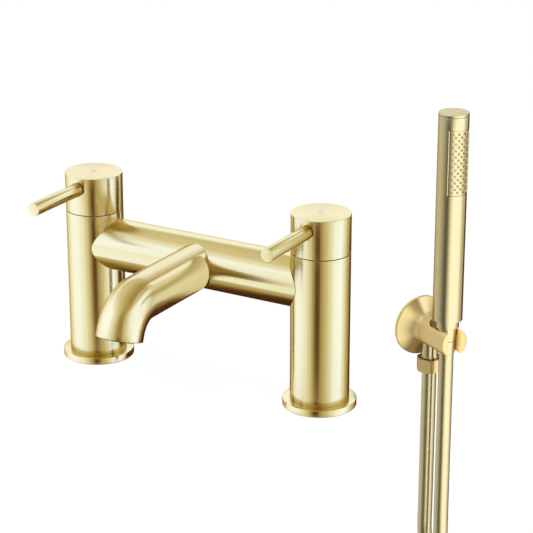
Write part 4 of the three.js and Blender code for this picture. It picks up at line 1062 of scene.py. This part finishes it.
def make_holder(settings):
    """Wall ring, holder and its locking screw."""
    place = outlet_place(settings)
    arm = tilted(place, 90)
    gap = JOINT_GAP
    rim, thick, collar = settings.plate_radius, settings.rim_thickness, settings.ring_collar
    bore, bore_end, waterway = settings.nipple_radius + gap, 0.0092, 0.0045
    inner, reach = collar - 0.0026, thick + 0.0045
    profile = [(bore, 0.0), (rim, 0.0), (rim, thick), (collar, thick), (collar, reach)]
    profile += [(inner, reach), (inner, thick), (bore, thick)]
    turned_part("wall_ring", profile, arm, OUTLET_SATIN, 0.0006, steps=FINE_STEPS)

    made = holder_solid("holder_fine", settings, place)
    spigot = shifted(place, y=-settings.spigot_offset)
    below = tilted(shifted(place, y=-settings.screw_offset), 180)
    socket_foot, socket_top = -0.0255, -0.0067
    screw_radius, screw_length, screw_end = 0.002, 0.0046, 0.014
    cut(
        made,
        rod(collar + gap, 0.0, reach + gap, arm),
        rod(bore, 0.0, bore_end, arm),
        rod(waterway, 0.0, settings.spigot_offset, arm),
        rod(waterway, -settings.arm_radius, waterway, spigot),
        rod(settings.spigot_root + gap, socket_foot, socket_top, spigot),
        rod(screw_radius + gap, screw_end, rim, below, steps=48),
        *cradle_tools(settings, place),
    )
    dress(made, ("holder_body",), *OUTLET_SATIN)
    # Painted reflection on the slot walls in front of the handset.
    paint_cradle_glow(made, settings, place)

    low = collar + gap
    high, key = low + screw_length, (low + 0.0021, low + 0.006)
    socket_screw("holder_screw", "fixtures", screw_radius, low, high, key, below, steps=48)


def make_outlet_fittings(settings):
    """Threaded wall nipple, the spigot under the arm and the hose's hexagon nut."""
    place = outlet_place(settings)
    gap = JOINT_GAP
    radius, wall, nipple_end, thread_end = settings.nipple_radius, 0.0033, 0.007, -0.001
    made = threaded_tube(
        "wall_nipple_fine", radius - wall, radius, -settings.nipple_drop, nipple_end,
        settings.thread_pitch, thread_end, tilted(place, 90),
    )
    dress(made, ("wall_nipple",), *RAW_BRASS)

    spigot = shifted(place, y=-settings.spigot_offset)
    level = place.translation.z
    nut_foot, nut_top = span("hose_nut", level)
    neck, collar = settings.spigot_neck, settings.spigot_collar
    thread, waterway, hose_way = 0.0102, 0.0052, 0.0073
    collar_foot, collar_top = nut_top + gap, nut_top + gap + 0.0018
    low = foot("outlet_spigot") - level
    shoulder, root_top = low + 0.0085, -settings.arm_radius + 0.007
    profile = [(0.0, low), (thread, low), (thread, shoulder), (neck, shoulder)]
    profile += [(neck, collar_foot), (collar, collar_foot), (collar, collar_top)]
    profile += [(neck, collar_top), (neck, 0.0), (0.0, 0.0)]
    made = turned("outlet_spigot_fine", profile, spigot, 0.0004, steps=FINE_STEPS, closed=False)
    cut(made, holder_solid("saddle", settings, place, gap))
    combine(made, rod(settings.spigot_root, collar_top, root_top, spigot), "UNION")
    cut(made, rod(waterway, low - PAST, root_top + PAST, spigot))
    dress(made, ("outlet_spigot",), *OUTLET_BRASS)

    made = hexagon_nut("hose_nut_fine", settings.nut_flats, nut_foot, nut_top, 0.0011, spigot)
    floor = nut_foot + 0.0022
    cut(
        made,
        rod(thread + gap, floor, nut_top + PAST, spigot),
        rod(hose_way, nut_foot - PAST, floor + PAST, spigot),
    )
    dress(made, ("hose_nut",), *OUTLET_SATIN)


# ---------------------------------------------------------------- handset


def make_handset_fittings(settings):
    """Cone nut, hose sleeve and the collar that the handset turns on."""
    place = handset_place(settings)
    level = place.translation.z
    edge, bore = settings.edge_radius, settings.sleeve_bore
    low, high = span("cone_nut", level)
    wide, narrow = settings.cone_top, settings.cone_foot
    inner, floor = narrow - 0.0015, low + 0.002
    profile = [(bore, low), (narrow, low), (wide, high), (inner, high), (inner, floor)]
    profile.append((bore, floor))
    turned_part("cone_nut", profile, place, HOSE_END_BRASS, edge)

    shelf = high + JOINT_GAP
    low, high = span("hose_sleeve", level)
    profile = [(bore, low), (settings.sleeve_foot, low), (settings.sleeve_top, high), (bore, high)]
    turned_part("hose_sleeve", profile, place, HOSE_END_BRASS, edge)

    low, high = span("handset_collar", level)
    ledge = foot("handset_body") - level - 0.0008
    wide, waterway, stem, neck = width("handset_collar") / 2, 0.004, 0.0068, 0.006
    profile = [(waterway, low), (stem, low), (stem, shelf), (wide, shelf), (wide, ledge)]
    profile += [(neck, ledge), (neck, high), (waterway, high)]
    turned_part("handset_collar", profile, place, HANDSET_BRASS, edge * 0.7, steps=FINE_STEPS)


def make_handset_body(settings):
    """The long tube with its spray window, and its end cap."""
    place = handset_place(settings)
    level = place.translation.z
    edge = settings.edge_radius
    radius = width("handset_cap") / 2
    inner = radius - settings.body_wall
    low, high = span("handset_body", level)
    window_low, window_high = span("spray_plate", level)
    window_low, window_high = window_low - SEAM, window_high + SEAM
    neck, floor = 0.0063, low + 0.003
    profile = [(neck, low), (radius, low), (radius, window_low), (radius, window_high)]
    profile += [(radius, high), (inner, high), (inner, floor), (neck, floor)]
    made = turned("handset_body_fine", profile, place, edge * 0.5, steps=FINE_STEPS)
    reach = radius * math.cos(settings.spray_half_angle)
    far = radius + PAST
    cut(made, block("window", (-far, -far, window_low), (far, -reach, window_high), place))
    dress(made, ("handset_body",), *HANDSET_BRASS)

    seam, high = high + 0.0001, top("handset_cap") - level
    plug, plug_end = inner - JOINT_GAP, seam - 0.006
    profile = [(0.0, plug_end), (plug, plug_end), (plug, seam), (radius, seam)]
    profile += [(radius, high), (0.0, high)]
    turned_part(
        "handset_cap", profile, place, HANDSET_BRASS, edge, steps=FINE_STEPS, closed=False
    )


def bent_panel(low, high, inner, outer, half_angle, bead, steps=180):
    """Rings of a curved panel about Z that faces -Y, with a half-round bead on its long edges."""
    soft = 0.0003
    rings = []
    for i in range(steps + 1):
        turn = -half_angle + 2 * half_angle * i / steps
        to_crest = (half_angle - abs(turn)) * outer - bead
        outside = outer + math.sqrt(max(0.0, bead**2 - to_crest**2))
        way = Vector((math.sin(turn), -math.cos(turn), 0.0))
        ring = [(inner, low), (outside - soft, low), (outside, low + soft)]
        ring += [(outside, high - soft), (outside - soft, high), (inner, high)]
        rings.append([way * r + Vector((0.0, 0.0, z)) for r, z in ring])
    return rings


def nozzle_profile(settings):
    """Radius and height of a nozzle: a raised ring round its hole."""
    tip, rise, hole = settings.nozzle_radius, settings.nozzle_height, settings.nozzle_hole
    profile = [(tip * 1.3, -0.00003), (tip * 1.1, rise * 0.6), (tip, rise * 0.92)]
    profile += [(tip * 0.95, rise), (hole * 1.12, rise), (hole, rise * 0.85)]
    return profile + [(hole * 0.92, rise * 0.08), (0.0, rise * 0.08)]


def add_nozzle(bm, place, profile, sides=14):
    """Faces of one nozzle, closed at its last point."""
    turns = [math.tau * k / sides for k in range(sides)]
    loops = []
    for radius, height in profile:
        ring = [(radius * math.cos(t), radius * math.sin(t), height) for t in turns]
        ring = ring if radius else ring[:1]
        loops.append([bm.verts.new(place @ Vector(point)) for point in ring])
    for one, other in zip(loops, loops[1:]):
        for k in range(sides):
            j = (k + 1) % sides
            if len(other) == 1:
                bm.faces.new((one[k], one[j], other[0]))
            else:
                bm.faces.new((one[k], one[j], other[j], other[k]))


def make_spray_face(settings):
    """The curved spray plate, and its nozzles in staggered columns."""
    place = handset_place(settings)
    radius = width("handset_cap") / 2
    low, high = span("spray_plate", place.translation.z)
    face, back = radius - settings.spray_recess, radius - 0.0032
    half = settings.spray_half_angle - JOINT_GAP / radius
    bm = bmesh.new()
    panel = bent_panel(low, high, back, face, half, settings.spray_bead)
    skin(bm, panel, capped=True)
    profile = nozzle_profile(settings)
    middle = (low + high) / 2
    columns = settings.nozzle_columns
    for column in range(columns):
        turn = (column - (columns - 1) / 2) * settings.column_angle
        rows = settings.nozzle_rows - column % 2
        for row in range(rows):
            height = middle + (row - (rows - 1) / 2) * settings.row_pitch
            way = Vector((math.sin(turn), -math.cos(turn), 0.0))
            spot = Matrix.Translation(way * face + Vector((0.0, 0.0, height)))
            add_nozzle(bm, spot @ way.to_track_quat("Z", "Y").to_matrix().to_4x4(), profile)
    made = piece("spray_plate_fine", bm, place)
    dress(made, ("spray_plate",), *HANDSET_BRASS)


# ---------------------------------------------------------------- hose


def arc_points(middle, radius, start, finish, steps):
    """Points on an arc in the x-z plane, without its first one."""
    x, z = middle
    turns = [start + (finish - start) * i / steps for i in range(1, steps + 1)]
    return [(x + radius * math.cos(turn), z + radius * math.sin(turn)) for turn in turns]


def hose_route(settings, outlet, place):
    """Centre line: down from the outlet's nut, once and more round the coil, up to the handset."""
    radius, entry = settings.coil_radius, settings.entry_angle
    bend_top = -settings.coil_drop + 2 * radius * math.sin(entry)
    nut_foot = foot("hose_nut") - place.translation.z
    sleeve_foot = foot("hose_sleeve") - place.translation.z
    steps, bends = 6, 4
    flat = [(0.0, nut_foot + (bend_top - nut_foot) * i / steps) for i in range(steps + 1)]
    flat += arc_points((radius, bend_top), radius, math.pi, math.pi + entry, bends)
    run_in = len(flat)
    turns = math.tau + 2 * (math.pi / 2 + entry)
    total = math.ceil(turns / math.tau * settings.steps_per_turn)
    flat += arc_points((0.0, -settings.coil_drop), radius, entry, entry - turns, total)
    run_out = len(flat) - 1
    flat += arc_points((-radius, bend_top), radius, -entry, 0.0, bends)
    for i in range(1, steps + 1):
        flat.append((0.0, bend_top + (sleeve_foot - bend_top) * i / steps))
    points = []
    for i, (across, height) in enumerate(flat):
        passed = min(max((i - run_in) / (run_out - run_in), 0.0), 1.0)
        away = outlet.spigot_offset + (outlet.handset_offset - outlet.spigot_offset) * passed
        points.append(place @ Vector((across, -away, height)))
    return points


def smooth_line(points, share_of_step):
    """Catmull-Rom points between the given ones."""
    line = []
    padded = [points[0] * 2 - points[1], *points, points[-1] * 2 - points[-2]]
    for i in range(1, len(padded) - 2):
        a, b, c, d = padded[i - 1 : i + 3]
        for step in range(share_of_step):
            t = step / share_of_step
            bend = (2 * a - 5 * b + 4 * c - d) * t * t
            line.append(0.5 * (2 * b + (c - a) * t + bend + (3 * b - a - 3 * c + d) * t**3))
    line.append(points[-1])
    return line


def swept_rings(line, radius, sides):
    """Rings of points round a line, carried along it without twisting."""
    turns = [math.tau * k / sides for k in range(sides)]
    rings = []
    across = None
    for i, point in enumerate(line):
        heading = (line[min(i + 1, len(line) - 1)] - line[max(i - 1, 0)]).normalized()
        if across is None:
            across = heading.orthogonal().normalized()
        across = (across - heading * across.dot(heading)).normalized()
        up = heading.cross(across)
        rings.append([point + (across * math.cos(t) + up * math.sin(t)) * radius for t in turns])
    return rings


def make_tie(settings, outlet, place):
    """The strap round the coil's lowest turns."""
    half, thick, soft = settings.tie_width / 2, settings.tie_thickness, 0.004
    clear = settings.diameter / 2 + settings.tie_clearance
    near, far = -outlet.spigot_offset + clear, -outlet.handset_offset - clear
    level = -settings.coil_drop - settings.coil_radius
    low, high = level - clear, level + clear
    rings, bends = [], 6
    for quarter, (y, z) in enumerate(((near, high), (far, high), (far, low), (near, low))):
        inner_y = y - math.copysign(soft, y - (near + far) / 2)
        inner_z = z - math.copysign(soft, z - level)
        middle = Vector((0.0, inner_y, inner_z))
        for i in range(bends + 1):
            turn = math.pi / 2 * quarter + math.pi / 2 * i / bends
            way = Vector((0.0, math.cos(turn), math.sin(turn)))
            corners = ((-half, soft), (half, soft), (half, soft + thick), (-half, soft + thick))
            rings.append([middle + way * r + Vector((x, 0.0, 0.0)) for x, r in corners])
    tie = lofted("hose_tie_fine", rings, place, closed=True)
    return dress(tie, ("hose_tie",), *TIE_PLASTIC)


def make_hose(settings, outlet):
    """The hose along its route, and its tie."""
    place = outlet_place(outlet)
    route = hose_route(settings, outlet, place)
    line = smooth_line(route, 3)
    rings = swept_rings(line, settings.diameter / 2, settings.sides)
    hose = lofted("hose", rings, capped=True)
    dress(hose, ("hose_outlet_run", "hose_coil", "hose_handset_run"), None, "hose_finish")
    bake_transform(hose)
    tie = make_tie(settings, outlet, place)


# ---------------------------------------------------------------- camera and stage


def camera_back(settings):
    """Unit vector from the aim point to the camera."""
    turn, rise = settings.camera_azimuth, settings.camera_elevation
    level = math.cos(rise)
    return Vector((math.sin(turn) * level, -math.cos(turn) * level, math.sin(rise)))


def make_camera(settings):
    data = bpy.data.cameras.new("studio_camera")
    data.sensor_width = 36.0
    data.lens = settings.lens
    data.clip_start, data.clip_end = 0.05, 20.0
    camera = bpy.data.objects.new("studio_camera", data)
    bpy.context.scene.collection.objects.link(camera)
    back = camera_back(settings)
    camera.rotation_mode = "QUATERNION"
    camera.location = Vector(settings.aim) + back * settings.camera_distance
    camera.rotation_quaternion = (-back).to_track_quat("-Z", "Y")
    bpy.context.scene.camera = camera


def looked_at(nodes):
    """One for a ray from the camera, a mirror or glass, and zero for a ray that lights."""
    path = nodes.add("ShaderNodeLightPath")
    seen = nodes.math("MAXIMUM", path.outputs["Is Camera Ray"], path.outputs["Is Glossy Ray"])
    return nodes.math("MAXIMUM", seen, path.outputs["Is Transmission Ray"])


def make_world(settings):
    """White to everything that looks at it, and a plain light to the surfaces."""
    world = bpy.data.worlds.new("studio")
    bpy.context.scene.world = world
    world.use_nodes = True
    nodes = Nodes(world.node_tree)
    background = nodes.add("ShaderNodeBackground")
    background.inputs["Color"].default_value = (*settings.white, 1.0)
    strength = nodes.spread(looked_at(nodes), settings.ambient, 1.0)
    nodes.link(strength, background.inputs["Strength"])
    output = nodes.add("ShaderNodeOutputWorld")
    nodes.link(background.outputs[0], output.inputs["Surface"])


def stage_white(name, shade, shadow):
    """White surface that keeps a share of the shadow that falls on it."""
    made, nodes, surface = blank_material(name)
    speckle = nodes.noise(nodes.own_place(), 8.0)
    matt = nodes.add("ShaderNodeBsdfDiffuse")
    nodes.link(nodes.ramp(speckle, *tints(shade, 0.97, 0.99)), matt.inputs["Color"])
    shine = nodes.add("ShaderNodeEmission")
    shine.inputs["Color"].default_value = (*shade, 1.0)
    seen = nodes.math("MULTIPLY", looked_at(nodes), 1.0 - shadow)
    nodes.link(nodes.mixed(seen, matt, shine), surface)
    return made


def screen_material(name, stops):
    """Glowing inside of a reflector screen, in tones that run along it; clear from outside."""
    made, nodes, surface = blank_material(name)
    made.cycles.emission_sampling = "NONE"
    ramp = nodes.add("ShaderNodeValToRGB")
    ramp.color_ramp.interpolation = "EASE"
    elements = ramp.color_ramp.elements
    while len(elements) < len(stops):
        elements.new(0.5)
    for element, (position, tone) in zip(elements, stops):
        element.position = position
        element.color = (*(channel / REFLECTOR_STRENGTH for channel in tone), 1.0)
    nodes.link(nodes.attribute("along", "Fac"), ramp.inputs["Fac"])
    shine = nodes.add("ShaderNodeEmission")
    shine.inputs["Strength"].default_value = REFLECTOR_STRENGTH
    nodes.link(ramp.outputs["Color"], shine.inputs["Color"])
    clear = nodes.add("ShaderNodeBsdfTransparent")
    behind = nodes.add("ShaderNodeNewGeometry").outputs["Backfacing"]
    nodes.link(nodes.mixed(behind, shine, clear), surface)
    return made


def toned_sheet(name, columns, place=None):
    """A sheet through pairs of points that knows how far along it each pair lies."""
    bm = bmesh.new()
    along = bm.verts.layers.float.new("along")
    pairs = [[bm.verts.new(point) for point in column] for column in columns]
    for i, pair in enumerate(pairs):
        for vert in pair:
            vert[along] = i / (len(pairs) - 1)
    for one, other in zip(pairs, pairs[1:]):
        bm.faces.new((one[0], one[1], other[1], other[0]))
    return set_out(name, bm, place)


def flat_sheet(name, wide, high, place):
    """A flat sheet that runs from its lower edge to its upper one."""
    x, y = wide / 2, high / 2
    return toned_sheet(name, [((-x, -y, 0.0), (x, -y, 0.0)), ((-x, y, 0.0), (x, y, 0.0))], place)


def show_to_polish(sheet, stops):
    """Gives a sheet its tones and leaves it to polished surfaces alone."""
    sheet.data.materials.append(screen_material(sheet.name, stops))
    sheet.visible_camera = False
    sheet.visible_diffuse = False
    sheet.visible_shadow = False
    sheet.visible_transmission = False


def make_screen(name, middle, radius, low, high, warmth, plan):
    """
    An upright round screen whose inside shows the tones of a plan: (degrees from -Y towards +X,
    strength) pairs, in order.
    """
    start, finish = plan[0][0], plan[-1][0]
    steps = math.ceil((finish - start) / 3)
    columns = []
    for i in range(steps + 1):
        turn = math.radians(start + (finish - start) * i / steps)
        x, y = middle[0] + radius * math.sin(turn), middle[1] - radius * math.cos(turn)
        columns.append(((x, y, low), (x, y, high)))
    stops = [
        ((degrees - start) / (finish - start), glow(level, warmth)) for degrees, level in plan
    ]
    show_to_polish(toned_sheet(name, columns), stops)


def make_card(name, place, wide, high, warmth, *levels):
    """
    A flat card that shows in polished surfaces only, from its +Z side. Its strengths follow each
    other from the lower edge to the upper one.
    """
    last = len(levels) - 1
    stops = [(i / last, glow(level, warmth)) for i, level in enumerate(levels)]
    show_to_polish(flat_sheet(name, wide, high, place), stops)


def make_lamp(name, position, target, side, radiance):
    """A soft area lamp that stays out of the reflections."""
    data = bpy.data.lights.new(name, "AREA")
    data.shape = "RECTANGLE"
    data.size, data.size_y = side, side
    data.energy = radiance * side * side * math.pi
    lamp = bpy.data.objects.new(name, data)
    bpy.context.scene.collection.objects.link(lamp)
    way = (Vector(target) - Vector(position)).normalized()
    turn = way.to_track_quat("-Z", "Y").to_matrix().to_4x4()
    lamp.matrix_world = Matrix.Translation(position) @ turn
    lamp.visible_camera = False
    lamp.visible_glossy = False


def make_deck(settings):
    """The white sheet at deck level, turned to the camera, that the filler stands on."""
    turn = Matrix.Rotation(settings.camera_azimuth, 4, "Z")
    deck = flat_sheet("deck_sheet", *DECK_SIZE, turn @ Matrix.Translation(DECK_MIDDLE))
    deck.data.materials.append(stage_white("deck_white", settings.white, settings.shadow))
    deck.visible_glossy = False


def make_floor(settings):
    drop = CAD_LOW.z - settings.floor_drop
    place = Matrix.Translation((0.0, 0.0, drop))
    floor = flat_sheet("floor", FLOOR_SIZE, FLOOR_SIZE, place)
    floor.data.materials.append(stage_white("floor_white", settings.white, settings.shadow))


def make_reflectors(settings):
    """Screens round the filler and round the handset, with a ceiling and pit cards."""
    warmth, dark = settings.warmth, 0.09
    low, split = CAD_LOW.z, 0.05
    make_screen(
        "filler_screen", (0.0, 0.0), 0.85, low, split, warmth,
        [
            (-130, 0.75), (-112, 0.95), (-95, 1.4), (-72, 1.58), (-50, 1.58), (-25, 1.42),
            (-5, 1.08), (8, 0.6), (18, 0.13), (28, 0.13), (37, 0.64), (52, 0.92), (68, 1.24),
            (85, 1.55), (110, 1.62), (126, 1.3), (145, 0.8), (164, 0.5), (176, 0.12),
            (195, 0.12), (213, 0.7), (230, 0.75),
        ],
    )
    make_screen(
        "upper_screen", (0.0, 0.0), 1.32, split, 1.7, warmth,
        [
            (-150, 1.45), (-128, 1.15), (-105, 1.38), (-75, 1.6), (-35, 1.6), (-15, 1.3),
            (0, 1.02), (18, 0.56), (33, 0.53), (48, 1.0), (75, 1.5), (100, 1.6), (122, 1.45),
            (150, 0.9), (166, 0.6), (180, 0.85), (198, 1.4), (210, 1.45),
        ],
    )
    make_screen(
        "high_screen", (0.0, 0.0), 0.9, 0.9, 1.4, warmth,
        [
            (-150, 0.9), (-120, 0.92), (-90, 1.15), (-60, 1.35), (-30, 1.3), (0, 1.0),
            (25, 0.66), (55, 0.66), (85, 0.9), (105, 0.98), (135, 0.75), (160, 0.62),
            (185, 0.85), (210, 0.9),
        ],
    )
    above = Matrix.Translation((0.0, 0.0, 1.1)) @ Matrix.Rotation(math.radians(-75), 4, "Z")
    ceiling = tilted(above, 180)
    make_card("ceiling_card", ceiling, 1.2, 1.2, warmth, 0.55, 0.6, 0.76, 0.95, 1.08)
    pit = Matrix.Translation((0.0, 0.0, low))
    make_card("pit_card", pit, 1.3, 1.3, warmth, 0.85, 0.65, 0.2, dark, dark)
    under = Matrix.Translation((0.0, 0.0, low + 0.05))
    make_card("dark_card", under, 0.6, 0.6, warmth, dark, dark)
    forwards = tilted(Matrix.Translation((0.0475, -0.0195, 0.076)), 90)
    make_card("spout_card", forwards, 0.075, 0.06, warmth, 0.25, 1.2, 1.2, 0.7)
    sky = Vector((-0.2, 0.365, 0.29))
    facing = (Vector((0.0, 0.0, 0.12)) - sky).to_track_quat("Z", "Y").to_matrix().to_4x4()
    make_card("sky_card", Matrix.Translation(sky) @ facing, 0.46, 0.26, warmth, 1.63, 1.63)
    back = Matrix.Translation((0.2, 0.95, low))
    make_card("back_card", back, 1.6, 0.7, warmth, dark, dark)
    upright = Matrix(((0, 1, 0, 0), (0, 0, -1, 0), (-1, 0, 0, 0), (0, 0, 0, 1)))
    beside = Matrix.Translation((0.1, 0.2, -0.125)) @ upright
    make_card("beside_card", beside, 0.45, 0.14, warmth, 0.1, 0.1, 0.15, 0.5)
    behind = Matrix.Translation((-0.085, 0.2, -0.185)) @ upright
    make_card("behind_card", behind, 0.33, 0.23, warmth, 0.12, 0.12)
    middle, kit_reach = centre("handset_collar"), 0.3
    make_screen(
        "kit_screen", (middle.x, middle.y), kit_reach, low, split, settings.kit_warmth,
        [
            (-115, 0.9), (-75, 0.98), (-45, 0.74), (-28, 0.42), (-10, 0.15), (2, 0.2),
            (13, 0.68), (26, 1.5), (42, 2.1), (95, 2.1), (113, 1.55), (129, 0.85),
            (150, 0.95),
        ],
    )
    make_screen(
        "kit_hood", (middle.x, middle.y), kit_reach, split, 0.7, warmth / 2,
        [
            (-110, 1.3), (-50, 1.2), (-10, 0.95), (15, 0.6), (32, 0.75), (50, 1.5), (75, 1.9),
            (120, 1.8), (150, 1.2),
        ],
    )


def make_lights(settings, outlet):
    make_lamp("top_softbox", (0.2, -0.3, 1.6), (0.0, 0.1, 0.0), 1.4, settings.lamp)
    cradle = outlet_place(outlet).translation
    make_lamp("front_softbox", (-0.35, -1.0, 0.0), cradle, 0.7, settings.front_lamp)


class BATHSET_OT_stage(bpy.types.Operator):
    """Makes the camera, world, deck, floor, lamps and reflector cards"""

    bl_idname = "bathset.stage"
    bl_label = "Stage"

    def execute(self, context):
        settings = context.scene.bath_set.stage
        context.scene.view_settings.view_transform = "Standard"
        make_camera(settings)
        make_world(settings)
        make_deck(settings)
        make_floor(settings)
        make_reflectors(settings)
        make_lights(settings, context.scene.bath_set.outlet)
        return {"FINISHED"}


class BATHSET_OT_hose(bpy.types.Operator):
    """Makes the hose along its route, with its spare length in a coil"""

    bl_idname = "bathset.hose"
    bl_label = "Hose"

    def execute(self, context):
        settings = context.scene.bath_set
        make_hose(settings.hose, settings.outlet)
        return {"FINISHED"}


class BATHSET_OT_fixings(bpy.types.Operator):
    """Makes the threaded tails, washers and backnuts under the deck"""

    bl_idname = "bathset.fixings"
    bl_label = "Deck fixings"

    def execute(self, context):
        for side in SIDES:
            make_fixings(context.scene.bath_set.deck_unit, side)
        return {"FINISHED"}


class BATHSET_OT_pillars(bpy.types.Operator):
    """Makes both pillars with their foot flanges"""

    bl_idname = "bathset.pillars"
    bl_label = "Pillars"

    def execute(self, context):
        for side in SIDES:
            make_pillar(context.scene.bath_set.deck_unit, side)
        return {"FINISHED"}


class BATHSET_OT_bridge(bpy.types.Operator):
    """Makes the bridge between the pillars"""

    bl_idname = "bathset.bridge"
    bl_label = "Bridge"

    def execute(self, context):
        make_bridge(context.scene.bath_set.deck_unit)
        return {"FINISHED"}


class BATHSET_OT_spout(bpy.types.Operator):
    """Makes the bent spout"""

    bl_idname = "bathset.spout"
    bl_label = "Spout"

    def execute(self, context):
        make_spout(context.scene.bath_set.deck_unit)
        return {"FINISHED"}


class BATHSET_OT_levers(bpy.types.Operator):
    """Makes both lever caps with their levers, screws and marks"""

    bl_idname = "bathset.levers"
    bl_label = "Levers"

    def execute(self, context):
        for side in SIDES:
            make_cap(context.scene.bath_set.deck_unit, side)
        return {"FINISHED"}


class BATHSET_OT_holder(bpy.types.Operator):
    """Makes the wall ring and the holder with its cradle"""

    bl_idname = "bathset.holder"
    bl_label = "Holder"

    def execute(self, context):
        make_holder(context.scene.bath_set.outlet)
        return {"FINISHED"}


class BATHSET_OT_outlet_fittings(bpy.types.Operator):
    """Makes the wall nipple, the spigot and the hose nut"""

    bl_idname = "bathset.outlet_fittings"
    bl_label = "Outlet fittings"

    def execute(self, context):
        make_outlet_fittings(context.scene.bath_set.outlet)
        return {"FINISHED"}


class BATHSET_OT_handset(bpy.types.Operator):
    """Makes the handset with its fittings and spray face"""

    bl_idname = "bathset.handset"
    bl_label = "Handset"

    def execute(self, context):
        settings = context.scene.bath_set.handset
        make_handset_fittings(settings)
        make_handset_body(settings)
        make_spray_face(settings)
        return {"FINISHED"}


class BATHSET_OT_inner_parts(bpy.types.Operator):
    """Finishes the inner and small parts that keep their CAD shape"""

    bl_idname = "bathset.inner_parts"
    bl_label = "Inner parts"

    def execute(self, context):
        slots = {part["node"]: part["material_slot"] for part in frame["record"]["subparts"]}
        for name, node in frame["nodes"].items():
            node.data.materials.clear()
            node.data.materials.append(finishes()[slots[name]])
            if "grain" not in node.data.attributes:
                lay_grain(node)
        return {"FINISHED"}


class BATHSET_PT_panel(bpy.types.Panel):
    """Lists the steps that build the bath set"""

    bl_label = "Bath Set"
    bl_idname = "BATHSET_PT_panel"
    bl_space_type = "VIEW_3D"
    bl_region_type = "UI"
    bl_category = "Bath Set"

    def draw(self, context):
        for operator in OPERATORS:
            self.layout.operator(operator.bl_idname)


OPERATORS = (
    BATHSET_OT_stage,
    BATHSET_OT_hose,
    BATHSET_OT_fixings,
    BATHSET_OT_pillars,
    BATHSET_OT_bridge,
    BATHSET_OT_spout,
    BATHSET_OT_levers,
    BATHSET_OT_holder,
    BATHSET_OT_outlet_fittings,
    BATHSET_OT_handset,
    BATHSET_OT_inner_parts,
)

CLASSES = (
    DeckUnitSettings,
    OutletSettings,
    HandsetSettings,
    HoseSettings,
    FinishSettings,
    StageSettings,
    BathSetSettings,
    *OPERATORS,
    BATHSET_PT_panel,
)


def register():
    for cls in CLASSES:
        bpy.utils.register_class(cls)
    bpy.types.Scene.bath_set = bpy.props.PointerProperty(type=BathSetSettings)


def unregister():
    del bpy.types.Scene.bath_set
    for cls in reversed(CLASSES):
        bpy.utils.unregister_class(cls)


def main():
    register()
    bpy.ops.bathset.stage()
    bpy.ops.bathset.hose()
    bpy.ops.bathset.fixings()
    bpy.ops.bathset.pillars()
    bpy.ops.bathset.bridge()
    bpy.ops.bathset.spout()
    bpy.ops.bathset.levers()
    bpy.ops.bathset.holder()
    bpy.ops.bathset.outlet_fittings()
    bpy.ops.bathset.handset()
    bpy.ops.bathset.inner_parts()


if __name__ == "__main__":
    main()
